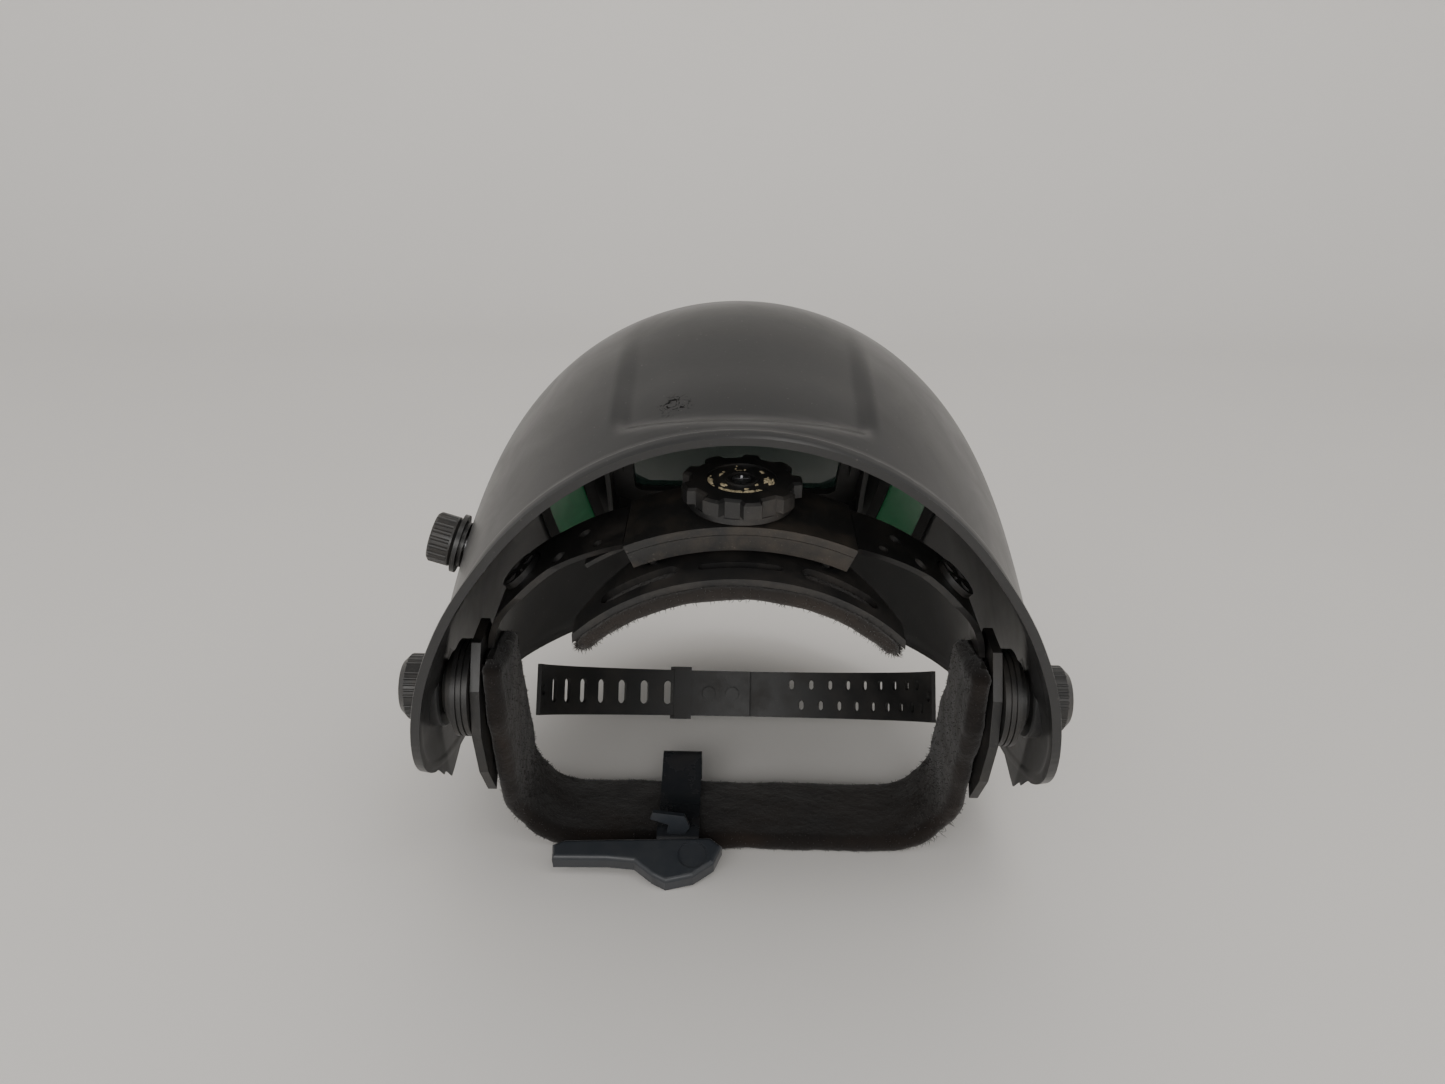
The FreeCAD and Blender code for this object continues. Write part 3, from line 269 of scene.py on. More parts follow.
# Above this point the rim is a straight line that leans out by 8 mm in 96.
CROWN_RIM_Y, CROWN_RIM_Z, CROWN_OVER, CROWN_RISE = -49, 104, 8, 96
FAN_FIRST, FAN_LAST, FAN_STEPS = 4.0, 147.0, 4000
LIP_PROUD, LIP_WIDTH, LIP_STEP = 0.7, 3.2, 0.9
ROWS = 170
NEAR_RIM = [0, 0.35, 0.9, 1.6, 2.3, 2.8, 3.2, 3.8, 5.0]
# The lower edge as (y, z), round the ear lobe and on to the chin: the lip follows it there.
LOBE_EDGE = [(-24, -10), (-14, -25), (-5, -31.5), (4, -36), (30, -43), (70, -48), (300, -48)]


def rim_crossings(t):
    """Lowest and highest fan angle that is still on the shell."""
    angles = np.linspace(FAN_FIRST, FAN_LAST, FAN_STEPS)
    _, y, z = arch(angles, t, 0.0)
    crown_rim = CROWN_RIM_Y - (z - CROWN_RIM_Z) * CROWN_OVER / CROWN_RISE
    beyond = np.where(z > CROWN_RIM_Z, crown_rim, smooth_curve(RIM, z))
    inside = (z > CHIN_Z) & (y > beyond)
    found = np.flatnonzero(inside)
    return angles[found[0]], angles[found[-1]]


def row_angles(t):
    """The fan angles of one grid line, close together near both rims, and its rough radius."""
    low, high = rim_crossings(t)
    r = max(float(smooth_curve(REACH, (low + high) / 2) * np.sin(t) ** (2 / 3.5)), 20.0)
    edge = np.degrees(np.array(NEAR_RIM) / r)
    edge = edge * min(1.0, (high - low) / 4 / edge[-1])
    middle = np.linspace(low + edge[-1], high - edge[-1], ROWS - 2 * len(NEAR_RIM) + 2)[1:-1]
    return np.concatenate([low + edge, middle, (high - edge)[::-1]]), r


FIRST_COLUMN, FINEST_STEP, WIDEST_STEP = 0.1078, 0.0016, 0.0095


def column_places():
    """Where the columns lie between ear and ear: close together at the lobes, wider on top."""
    half, t = [], FIRST_COLUMN
    while t < math.pi / 2 - 0.004:
        half.append(t)
        t += min(WIDEST_STEP, FINEST_STEP * (t / 0.11) ** 1.3)
    return half + [math.pi - t for t in reversed(half)]


def shell_grid(inset, lip):
    """Rows and columns of points over the shell, lip mm proud at its rim."""
    columns = column_places()
    grid = np.empty((len(columns), ROWS, 3))
    for i, t in enumerate(columns):
        angles, r = row_angles(t)
        from_rim = np.minimum(angles - angles[0], angles[-1] - angles) * math.radians(r)
        _, y, z = arch(angles, t, inset)
        above_lobe = z - np.interp(y, *np.array(LOBE_EDGE).T) - 0.6
        from_rim = np.minimum(from_rim, np.maximum(above_lobe, 0))
        rise = lip * ease((LIP_WIDTH + 0.5 - from_rim) / LIP_STEP) * (
            0.55 + 0.45 * ease(from_rim / LIP_STEP))
        grid[i] = np.array(shell_spot(angles, t, inset - rise)).T
    return grid


outer_grid, inner_grid = shell_grid(0.0, LIP_PROUD), shell_grid(WALL, -0.3)
middle_column = outer_grid[len(outer_grid) // 2]
print("shell grid", outer_grid.shape, "rim to rim", np.round(middle_column[[0, -1]], 1))


# %% Close the two skins into one mesh
def mesh_object(name, points, faces, smooth=True):
    """Points are millimetres from the pivot line."""
    mesh = bpy.data.meshes.new(name)
    mesh.from_pydata([from_pivot(*p) for p in points], [], faces)
    mesh.validate()
    if smooth:
        mesh.shade_smooth()
    made = bpy.data.objects.new(name, mesh)
    bpy.context.scene.collection.objects.link(made)
    return made


def sheet_faces(rows, columns, start, flip):
    faces = []
    for i in range(rows - 1):
        for j in range(columns - 1):
            a = start + i * columns + j
            quad = (a, a + 1, a + columns + 1, a + columns)
            faces.append(quad[::-1] if flip else quad)
    return faces


def two_skins(name, outer, inner):
    """A closed shell between two grids of the same size."""
    rows, columns = outer.shape[:2]
    count = rows * columns
    border = (list(range(columns)) + [i * columns + columns - 1 for i in range(1, rows)]
              + [(rows - 1) * columns + j for j in range(columns - 2, -1, -1)]
              + [i * columns for i in range(rows - 2, 0, -1)])
    faces = sheet_faces(rows, columns, 0, True) + sheet_faces(rows, columns, count, False)
    for a, b in zip(border, border[1:] + border[:1]):
        faces.append((a, b, b + count, a + count))
    return mesh_object(name, np.concatenate([outer.reshape(-1, 3), inner.reshape(-1, 3)]), faces)


shell = two_skins("face_shell", outer_grid, inner_grid)
print("face_shell has", len(shell.data.polygons), "faces")

# %% [markdown]
# Three openings go through the shell: the filter bay and the two side windows. Each is a
# rounded rectangle cut straight through, so a Boolean modifier with a simple prism does it
# cleanly. The prisms are placed in the wearer's frame, forward and up, and then leaned back
# with the face.

# %% Cut the window openings
FACE_LEAN = math.radians(44.0)


def leaned(x, forward, up):
    """From the wearer's frame, in mm, to mm from the pivot line as the helmet lies."""
    return (x, forward * math.cos(FACE_LEAN) - up * math.sin(FACE_LEAN),
            forward * math.sin(FACE_LEAN) + up * math.cos(FACE_LEAN))


def rounded_rectangle(width, height, radius, per_corner=8):
    """Points of a rounded rectangle about 0, 0, going anticlockwise."""
    points = []
    for k, (sx, sy) in enumerate([(1, 1), (-1, 1), (-1, -1), (1, -1)]):
        for i in range(per_corner + 1):
            a = math.pi / 2 * (k + i / per_corner)
            points.append((sx * (width / 2 - radius) + radius * math.cos(a),
                           sy * (height / 2 - radius) + radius * math.sin(a)))
    return points


def prism_cutter(name, ring, place):
    """A prism whose two ends are place(point, 0) and place(point, 1)."""
    n = len(ring)
    points = [place(p, 0) for p in ring] + [place(p, 1) for p in ring]
    faces = [tuple(range(n))[::-1], tuple(range(n, 2 * n))]
    faces += [(i, (i + 1) % n, n + (i + 1) % n, n + i) for i in range(n)]
    return mesh_object(name, points, faces, smooth=False)


def outward_faces(piece):
    """Turn every face of the closed piece outwards."""
    bm = bmesh.new()
    bm.from_mesh(piece.data)
    bmesh.ops.recalc_face_normals(bm, faces=bm.faces)
    bm.to_mesh(piece.data)
    bm.free()


def cut_away(piece, cutter):
    """Subtract the cutter from the piece and throw the cutter away."""
    outward_faces(cutter)
    modifier = piece.modifiers.new("cut", "BOOLEAN")
    modifier.operation, modifier.solver, modifier.object = "DIFFERENCE", "EXACT", cutter
    dg = bpy.context.evaluated_depsgraph_get()
    mesh = bpy.data.meshes.new_from_object(piece.evaluated_get(dg))
    piece.modifiers.remove(modifier)
    piece.data = mesh
    bpy.data.objects.remove(cutter)


BAY_W, BAY_H, BAY_WALL, BAY_FRONT, BAY_UP = 114.8, 92.8, 2.4, 149.5, -54.0
BAY_CUT_MORE = 3.4
WINDOW_W, WINDOW_H, WINDOW_CORNER = 24, 64, 5
WINDOW_OUT, WINDOW_FORWARD, WINDOW_UP = 76, 114, -72
WINDOW_TURN = math.radians(40.0)
WINDOW_CUT_BACK, WINDOW_CUT = 10, 28


def window_cutter(side):
    """A prism through one side window, turned outwards; side is -1 or 1."""
    def place(p, end):
        through = WINDOW_CUT * end - WINDOW_CUT_BACK
        out = WINDOW_OUT + p[0] * math.cos(WINDOW_TURN) + through * math.sin(WINDOW_TURN)
        forward = WINDOW_FORWARD - p[0] * math.sin(WINDOW_TURN) + through * math.cos(WINDOW_TURN)
        return leaned(side * out, forward, WINDOW_UP + p[1])

    return prism_cutter("window_cutter", rounded_rectangle(WINDOW_W, WINDOW_H, WINDOW_CORNER), place)


cut_away(shell, prism_cutter(
    "bay_cutter", rounded_rectangle(BAY_W + BAY_CUT_MORE, BAY_H + BAY_CUT_MORE, 11),
    lambda p, end: leaned(p[0], 70 + 100 * end, BAY_UP + p[1])))
for side in (-1, 1):
    cut_away(shell, window_cutter(side))
print("face_shell after cutting:", len(shell.data.polygons), "faces")

# %% [markdown]
# The filter bay is a box frame that stands proud of the face and holds the lens cartridge.
# It is swept: one cross-section goes round a rounded rectangle, from the wall's inner end,
# up through a soft fillet where it leaves the face, over the rounded front edge and into
# the viewing opening. The fillet follows the shell's real height at each point.


# %% The filter bay
def shell_depth(x, up):
    """How far forward the shell's surface is, straight ahead of that point."""
    low, high = 0.0, 260.0
    for _ in range(30):
        middle = (low + high) / 2
        _, y, z = leaned(x, middle, up)
        angle = math.degrees(math.atan2(z - FAN_Z, y - FAN_Y))
        reach = smooth_curve(REACH, angle) * max(0.0, 1 - (x / HALF_WIDTH) ** 2) ** (
            1 / smooth_curve(SQUARENESS, angle))
        if math.hypot(y - FAN_Y, z - FAN_Z) < reach:
            low = middle
        else:
            high = middle
    return low


def bay_section(x, z, nx, nz):
    """One cross-section of the bay as (outwards, forward) pairs."""
    base = shell_depth(x, BAY_UP + z)
    foot = shell_depth(x + 3 * nx, BAY_UP + z + 3 * nz)
    top = min(base + 3.6, BAY_FRONT - 3.2)
    return [(-2.4, base - 14), (-0.1, base - 14), (0, base - 4), (3.0, foot - 0.5),
            (1.5, foot + (base - foot) * 0.5 + 0.5), (0.7, base + 1.2), (0.2, (base + top) / 2 + 0.6),
            (0, top), (0, BAY_FRONT - 2.8), (-0.25, BAY_FRONT - 1.5), (-1.0, BAY_FRONT - 0.5),
            (-2.2, BAY_FRONT), (-4.0, BAY_FRONT)]


VIEW_W, VIEW_H, FRONT_PLATE = 103, 72, 2.4


def make_bay():
    """Sweep the cross-section round the bay, then over the front and into the opening."""
    outline = rounded_rectangle(BAY_W + 2 * BAY_WALL, BAY_H + 2 * BAY_WALL, 12, 10)
    opening = rounded_rectangle(VIEW_W, VIEW_H, 7, 10)
    inner = rounded_rectangle(BAY_W, BAY_H, 9.6, 10)
    dense, dense_open, dense_in = [], [], []
    for a in range(len(outline)):
        b = (a + 1) % len(outline)
        steps = max(1, int(math.dist(outline[a], outline[b]) / 2.5))
        for s in range(steps):
            for line, out in ((outline, dense), (opening, dense_open), (inner, dense_in)):
                out.append(tuple(p + (q - p) * s / steps for p, q in zip(line[a], line[b])))
    rings = []
    for k, (x, z) in enumerate(dense):
        before, after = dense[k - 1], dense[(k + 1) % len(dense)]
        tx, tz = after[0] - before[0], after[1] - before[1]
        length = math.hypot(tx, tz)
        nx, nz = tz / length, -tx / length
        ring = [leaned(x + o * nx, f, BAY_UP + z + o * nz)
                for o, f in bay_section(x, z, nx, nz)]
        ox, oz = dense_open[k]
        ix, iz = dense_in[k]
        cx, cz = ox * 1.012, oz * 1.016
        ring += [leaned(cx, BAY_FRONT, BAY_UP + cz), leaned(ox, BAY_FRONT - 0.6, BAY_UP + oz),
                 leaned(ox, BAY_FRONT - FRONT_PLATE, BAY_UP + oz),
                 leaned(ix, BAY_FRONT - FRONT_PLATE, BAY_UP + iz)]
        rings.append(ring)
    points = np.array(rings)
    n, m = points.shape[:2]
    faces = [(i * m + j, ((i + 1) % n) * m + j, ((i + 1) % n) * m + (j + 1) % m, i * m + (j + 1) % m)
             for i in range(n) for j in range(m)]
    return mesh_object("filter_bay", points.reshape(-1, 3), faces)


bay = make_bay()
print("filter_bay has", len(bay.data.polygons), "faces")


# %% Pivot bosses and finish of the edges
def turned(name, outline, place, steps=64):
    """A turned piece: outline is (radius, along) pairs, place puts (a, b, along) in the helmet."""
    points, n = [], len(outline)
    for i in range(steps):
        a = 2 * math.pi * i / steps
        points += [place(r * math.cos(a), r * math.sin(a), along) for r, along in outline]
    faces = [(i * n + j, ((i + 1) % steps) * n + j, ((i + 1) % steps) * n + (j + 1) % n,
              i * n + (j + 1) % n) for i in range(steps) for j in range(n)]
    return mesh_object(name, points, faces)


BOSS = [(4.1, 100.8), (13.4, 100.8), (14.0, 101.4), (14.0, 105.0), (13.7, 105.7), (13.0, 106.0),
        (4.1, 106.0)]
bosses = [turned("pivot_boss_" + word, BOSS, lambda a, b, along, s=s: (s * along, a, b))
          for s, word in ((-1, "left"), (1, "right"))]
for piece in [shell, bay, *bosses]:
    outward_faces(piece)
    piece.data.set_sharp_from_angle(angle=math.radians(38))
    rounded = piece.modifiers.new("edge", "BEVEL")
    rounded.width, rounded.segments, rounded.limit_method = 0.0004, 2, "ANGLE"
    rounded.angle_limit = math.radians(50)
    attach(piece, "shell")
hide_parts("shell")
print("shell pieces ride on the shell body")

# %% [markdown]
# ## Soft goods
# The sweatband is a fleece sleeve over the stiff browband. It is modelled as a row of soft
# cross-sections that follow the band from temple to temple: each is a rounded, slightly
# swollen loop, and the loops shrink at both ends so that the sleeve closes. The nape cushion
# is made the same way along its own curve. Then the surface gets lumps a centimetre long and
# a nap a millimetre fine, and thousands of short fibres stand up from it, longer and wilder
# at the corners and ends, where the real cloth is frayed.

# %% Cross-sections and fibres
def even_loop(ring, count):
    """The closed ring's points again, evenly spaced."""
    line = np.array(ring + [ring[0]], float)
    along = np.concatenate([[0], np.cumsum(np.hypot(*np.diff(line, axis=0).T))])
    places = np.linspace(0, along[-1], count, endpoint=False)
    return np.column_stack([np.interp(places, along, line[:, k]) for k in (0, 1)])


def plump_section(width, thick, crown, shrink, count=104):
    """A pillow-like loop: (across, inward) in mm, swollen by crown in its middle."""
    loop = even_loop(rounded_rectangle(width, thick, min(width, thick) / 2 - 0.3, 6), count)
    swell = crown * (1 - (2 * loop[:, 0] / width) ** 2) * np.clip(loop[:, 1] / thick + 0.5, 0, 1)
    loop[:, 1] += swell
    loop[:, 0] *= 0.4 + 0.6 * shrink if shrink > 0.2 else shrink * 2.6
    loop[:, 1] *= shrink
    return loop


def end_shrink(distance, reach=3.2):
    """How full a section is that far from the sleeve's end."""
    t = np.clip(1 - distance / reach, 0, 1)
    return max(0.02, math.sqrt(1 - t * t))


def grid_normals(grid):
    along = np.gradient(grid, axis=0)
    around = np.roll(grid, -1, axis=1) - np.roll(grid, 1, axis=1)
    n = np.cross(along, around)
    return n / np.maximum(np.linalg.norm(n, axis=2, keepdims=True), 1e-9)


def rough_cloth(grid, lumps, nap):
    """Push the surface in and out by two sizes of noise."""
    normals = grid_normals(grid)
    inside = grid.mean(axis=1, keepdims=True)
    if ((grid - inside) * normals).sum() < 0:
        normals = -normals
    flat, out = grid.reshape(-1, 3), np.empty(grid.shape[0] * grid.shape[1])
    for k, spot in enumerate(flat):
        p = Vector(spot)
        out[k] = lumps * perlin.noise(p / 11) + nap * (perlin.noise(p / 0.9) + perlin.noise(p / 1.9))
    return grid + normals * out.reshape(grid.shape[:2])[..., None], normals


def fibres(grid, normals, count, wildness, seed):
    """Short tapering threads, each a closed three-sided spike. wildness(i, j) scales length."""
    dice = random.Random(seed)
    points, faces = [], []
    for _ in range(count):
        i, j = dice.randrange(grid.shape[0]), dice.randrange(grid.shape[1])
        root, n = Vector(grid[i, j]), Vector(normals[i, j])
        length = wildness(i, j) * dice.uniform(0.5, 1.3)
        drift = Vector([dice.gauss(0, 0.55) for _ in range(3)])
        lean_to = (n + drift).normalized()
        tip_to = (n + drift * 2.2).normalized()
        side = lean_to.orthogonal().normalized()
        other = lean_to.cross(side)
        middle = root + lean_to * length * 0.55
        start = len(points)
        for centre, r in ((root - n * 0.15, 0.10), (middle, 0.075)):
            points += [centre + (side * math.cos(a) + other * math.sin(a)) * r
                       for a in (0, 2.094, 4.189)]
        points.append(middle + tip_to * length * 0.45)
        faces.append((start + 2, start + 1, start))
        for k in range(3):
            m = (k + 1) % 3
            faces.append((start + k, start + m, start + 3 + m, start + 3 + k))
            faces.append((start + 3 + k, start + 3 + m, start + 6))
    return points, faces


def soft_piece(name, grid, normals, threads):
    """One mesh from the closed sleeve and its fibres."""
    n, m = grid.shape[:2]
    faces = [(i * m + j, i * m + (j + 1) % m, (i + 1) * m + (j + 1) % m, (i + 1) * m + j)
             for i in range(n - 1) for j in range(m)]
    faces += [tuple(range(m))[::-1], tuple((n - 1) * m + j for j in range(m))]
    points = [tuple(p) for p in grid.reshape(-1, 3)]
    start = len(points)
    thread_points, thread_faces = threads
    points += [tuple(p) for p in thread_points]
    faces += [tuple(start + k for k in face) for face in thread_faces]
    piece = mesh_object(name, points, faces)
    outward_faces(piece)
    return piece


print("soft section, mm:", np.round(plump_section(40, 6.7, 0.8, 1.0)[:3], 1).tolist())


# %% The fleece sweatband
BAND_SIDE, BAND_LOW, BAND_TURN, BAND_TOP, BAND_THICK = 86.7, -75.5, 27.2, 14.0, 6.7
NEAR_EDGE = [(-80, 12), (-66, 12.5), (-40, 4), (-10, -8), (14, -12)]
FAR_EDGE = [(-80, 53), (-66, 52.5), (-38, 44), (-8, 30), (14, 21)]
BAND_SWELL, BAND_LUMPS, BAND_NAP, BAND_FIBRES = 0.9, 0.55, 0.16, 9000


def band_line():
    """Places along the band's outer line and the directions inward, temple to temple."""
    places, inward = [], []
    low = BAND_LOW + BAND_TURN
    heights = [BAND_TOP - h for h in (0, 0.25, 0.7, 1.3, 2.1, 3.2)]
    heights += list(np.arange(BAND_TOP - 4.2, low, -1.0))
    for z in heights:
        places.append((-BAND_SIDE, z))
        inward.append((1, 0))
    for a in np.linspace(math.pi, 1.5 * math.pi, 42, endpoint=False):
        places.append((-BAND_SIDE + BAND_TURN + BAND_TURN * math.cos(a), low + BAND_TURN * math.sin(a)))
        inward.append((-math.cos(a), -math.sin(a)))
    half = list(np.arange(-BAND_SIDE + BAND_TURN, -0.5, 1.0)) + [0.0]
    places += [(x, BAND_LOW) for x in half]
    inward += [(0, 1)] * len(half)
    places += [(-x, z) for x, z in places[-2::-1]]
    inward += [(-x, z) for x, z in inward[-2::-1]]
    return places, inward


def make_sweatband():
    rings = []
    places, inward = band_line()
    for k, ((x, z), (nx, nz)) in enumerate(zip(places, inward)):
        near = np.interp(z, *np.array(NEAR_EDGE, float).T)
        far = np.interp(z, *np.array(FAR_EDGE, float).T)
        loop = plump_section(far - near, BAND_THICK, BAND_SWELL, end_shrink(BAND_TOP - z))
        depth = loop[:, 1] + BAND_THICK / 2
        ring = np.column_stack([x + nx * depth, (near + far) / 2 + loop[:, 0], z + nz * depth])
        rings.append(ring)
    grid, normals = rough_cloth(np.array(rings), BAND_LUMPS, BAND_NAP)
    grid[..., 2] = np.maximum(grid[..., 2], BAND_LOW + 0.05)

    def wild(i, j):
        x, y, z = grid[i, j]
        corner = math.exp(-((abs(x) - 80) ** 2 + (z + 58) ** 2) / 160)
        end = math.exp(-(BAND_TOP - z) / 4)
        torn = math.exp(-((x - 76) ** 2 + (z + 64) ** 2 + (y - 16) ** 2) / 90)
        return 0.75 + 0.9 * corner + 0.8 * end + 2.2 * torn

    threads = fibres(grid, normals, BAND_FIBRES, wild, seed=11)
    threads = ([Vector((p[0], p[1], max(p[2], BAND_LOW))) for p in threads[0]], threads[1])
    return soft_piece("fleece_band", grid, normals, threads)


sweatband = make_sweatband()
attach(sweatband, "headgear")
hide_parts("sweatband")
print("fleece_band has", len(sweatband.data.polygons), "faces")

# %% [markdown]
# Behind the wearer's head, the ratchet housing, its knob, the arms and the nape cushion all
# lean 8 degrees, as the back of a head does. One function places points of that group. The
# cushion is a crescent: nearly straight at its lower edge, arched at its upper edge.


# %% The nape cushion
REAR_LEAN = math.radians(8.0)
REAR_TURNS_AT, REAR_MOVED_TO = (2.5, 14.0), (11.5, 17.5)
PAD_LOOPS, PAD_SWELL, PAD_LUMPS, PAD_NAP, PAD_FIBRES = 130, 0.6, 0.35, 0.12, 4200
PAD_CENTRE_Z = -9.5


def rear(x, y, z):
    """A point of the leaning rear group, in mm from the pivot line."""
    y, z = y - REAR_TURNS_AT[0], z - REAR_TURNS_AT[1]
    return (x, REAR_MOVED_TO[0] + y * math.cos(REAR_LEAN) - z * math.sin(REAR_LEAN),
            REAR_MOVED_TO[1] + y * math.sin(REAR_LEAN) + z * math.cos(REAR_LEAN))


def make_nape_cushion():
    outer_r, thick, half = 69.4, 4.0, 49.5
    rings = []
    for x in half * np.sin(np.linspace(-math.pi / 2, math.pi / 2, PAD_LOOPS)):
        near = -44.3 - 1.5 * (1 - (x / half) ** 2)
        far = -32.5 + 20 * (1 - (x / half) ** 2)
        loop = plump_section(far - near, thick, PAD_SWELL, end_shrink(half - abs(x), 3.0), 84)
        mid_r = outer_r - thick / 2
        turn = math.asin(x / mid_r)
        ring = []
        for across, inward_by in loop:
            r = mid_r - inward_by
            ring.append(rear(r * math.sin(turn), (near + far) / 2 + across,
                             PAD_CENTRE_Z + r * math.cos(turn)))
        rings.append(ring)
    grid, normals = rough_cloth(np.array(rings), PAD_LUMPS, PAD_NAP)

    def wild(i, j):
        edge = math.exp(-min(i, PAD_LOOPS - 1 - i) / 8)
        return 0.6 + 1.3 * edge + (0.7 if grid[i, j][1] < -30 else 0)

    threads = fibres(grid, normals, PAD_FIBRES, wild, seed=23)
    return soft_piece("nape_pad", grid, normals, threads)


nape_pad = make_nape_cushion()
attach(nape_pad, "headgear")
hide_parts("nape_cushion")
print("nape_pad has", len(nape_pad.data.polygons), "faces")

# %% [markdown]
# The ratchet knob has a ring-shaped groove in its face. A sticker once sat there: what is
# left is dry, cream-coloured glue in crumbs and smears. Each crumb is a squashed ball.


# %% Old glue in the knob's groove
KNOB_Z, GROOVE_OUTER, GROOVE_FLOOR = -15, 10.3, 82.02


def make_crumbs():
    dice = random.Random(5)
    points, faces = [], []
    ball = bmesh.new()
    bmesh.ops.create_icosphere(ball, subdivisions=2, radius=1.0)
    ball_points = [v.co.copy() for v in ball.verts]
    ball_faces = [[v.index for v in f.verts] for f in ball.faces]
    ball.free()
    spots = [(dice.gauss(188, 9), dice.uniform(9.4, 10.6)) for _ in range(26)]
    spots += [(dice.uniform(226, 306), dice.gauss(9.6, 0.45)) for _ in range(70)]
    spots += [(dice.gauss(352, 9), dice.uniform(7.4, 10.2)) for _ in range(24)]
    spots += [(dice.uniform(0, 360), dice.uniform(6.0, 10.4)) for _ in range(22)]
    for degrees, r in spots:
        a = math.radians(degrees)
        wide, deep, high = dice.uniform(0.3, 1.1), dice.uniform(0.25, 0.6), dice.uniform(0.1, 0.28)
        r = min(r, GROOVE_OUTER)
        centre = (r * math.cos(a), KNOB_Z + r * math.sin(a))
        start = len(points)
        for p in ball_points:
            p = p * (1 + 0.25 * dice.uniform(-1, 1))
            u, v = p.x * deep, p.y * wide
            points.append(rear(centre[0] + u * math.cos(a) - v * math.sin(a),
                               centre[1] + u * math.sin(a) + v * math.cos(a),
                               GROOVE_FLOOR + p.z * high))
        faces += [[start + k for k in face] for face in ball_faces]
    return mesh_object("glue_crumbs", points, faces)


crumbs = make_crumbs()
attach(crumbs, "ratchet_knob")
print("glue_crumbs has", len(crumbs.data.polygons), "faces")

# %% [markdown]
# ## The shell's finish
# It is black moulded nylon with a satin shine: reflections are there, but blurred. Use has
# left faint cloudy wiping marks, pin-head dust, and a few dull scuffs in the recess. The
# shine changes with the wiping marks, so they show only where light glances off.


# %% Satin black nylon
SCUFFED_SPOT = (-20.2, -27.5, 108.0)


def satin_black():
    material, tree, shader = new_material("satin_black", (0.020, 0.020, 0.0205), 0.36,
                                          Coat_Weight=0.15, Coat_Roughness=0.3)
    clouds = noise(tree, 9.0, 5.0)
    wiped = noise(tree, 38.0, 6.0, 0.6, distortion=1.2)
    dust = ramp(tree, noise(tree, 900.0, 2.0), [(0.70, 0.0), (0.76, 1.0)])
    colour = mix(tree, clouds, (0.016, 0.016, 0.0165), (0.026, 0.026, 0.0265))
    colour = mix(tree, maths(tree, "MULTIPLY", dust, 0.35), colour, (0.16, 0.15, 0.14))
    gloss = ramp(tree, wiped, [(0.3, 0.30), (0.7, 0.40)])
    spot = from_pivot(*SCUFFED_SPOT)
    away = add(tree, "ShaderNodeVectorMath", operation="DISTANCE")
    tree.links.new(object_point(tree), away.inputs[0])
    away.inputs[1].default_value = spot
    near = ramp(tree, maths(tree, "MULTIPLY", away.outputs["Value"], 100.0),
                [(0.25, 1.0), (0.62, 0.0)])
    scraped = ramp(tree, noise(tree, 330.0, 5.0, 0.6, distortion=2.5), [(0.52, 0.0), (0.60, 1.0)])
    scuff = maths(tree, "MULTIPLY", near, scraped)
    tree.links.new(mix(tree, scuff, colour, (0.002, 0.002, 0.002)), shader.inputs["Base Color"])
    gloss = mix(tree, scuff, gloss, (0.75, 0.75, 0.75))
    tree.links.new(maths(tree, "MULTIPLY", maths(tree, "SUBTRACT", 1.0, scuff), 0.5),
                   shader.inputs["Specular IOR Level"])
    tree.links.new(gloss, shader.inputs["Roughness"])
    bump(tree, shader, noise(tree, 420.0, 3.0), 0.05, 0.0004)
    return material


def wear(piece, material):
    piece.data.materials.clear()
    piece.data.materials.append(material)


shell_finish = satin_black()
for piece in [shell, bay, *bosses]:
    wear(piece, shell_finish)
print("shell finish made")

# %% [markdown]
# ## Moulded plastics of the headgear
# The headgear is polypropylene: matt, slightly waxy, brown with dust in places. The knobs
# are a harder black plastic. The clip is a blue-grey plastic with a soft shine. One recipe
# with different numbers serves them all: a base colour, fine grain and a veil of dust.


# %% Dusty plastic
def moulded(name, colour, roughness, dust_amount=0.3, grain=0.12,
            dust_colour=(0.09, 0.075, 0.062)):
    """A grained plastic with a veil of settled dust and a few pale specks."""
    material, tree, shader = new_material(name, colour, roughness)
    settled = ramp(tree, noise(tree, 70.0, 6.0, 0.65), [(0.45, 0.0), (0.72, 1.0)])
    specks = ramp(tree, noise(tree, 1300.0, 2.0), [(0.66, 0.0), (0.74, 1.0)])
    colour_out = mix(tree, maths(tree, "MULTIPLY", settled, dust_amount), colour, dust_colour)
    colour_out = mix(tree, maths(tree, "MULTIPLY", specks, 0.5 * dust_amount), colour_out,
                     (0.2, 0.18, 0.16))
    tree.links.new(colour_out, shader.inputs["Base Color"])
    rough = maths(tree, "ADD", maths(tree, "MULTIPLY", settled, 0.18), roughness)
    tree.links.new(rough, shader.inputs["Roughness"])
    bump(tree, shader, noise(tree, 1600.0, 3.0), grain, 0.0003)
    return material


headgear_plastic = moulded("headgear_plastic", (0.014, 0.0138, 0.0138), 0.40, 0.30)
strap_plastic = moulded("strap_plastic", (0.008, 0.008, 0.0082), 0.52, 0.16)
knob_plastic = moulded("knob_plastic", (0.017, 0.017, 0.0172), 0.34, 0.35)
dusty_housing = moulded("dusty_housing", (0.019, 0.0185, 0.018), 0.42, 0.6, 0.15,
                        (0.085, 0.066, 0.048))
clip_grey = moulded("clip_grey", (0.026, 0.030, 0.036), 0.32, 0.10, 0.06)
clip_black = moulded("clip_black", (0.022, 0.024, 0.028), 0.22, 0.18, 0.05)
cartridge_black = moulded("cartridge_black", (0.012, 0.012, 0.012), 0.5, 0.1)
rubber_black = moulded("rubber_black", (0.012, 0.012, 0.012), 0.75, 0.2)
print("plastics made")


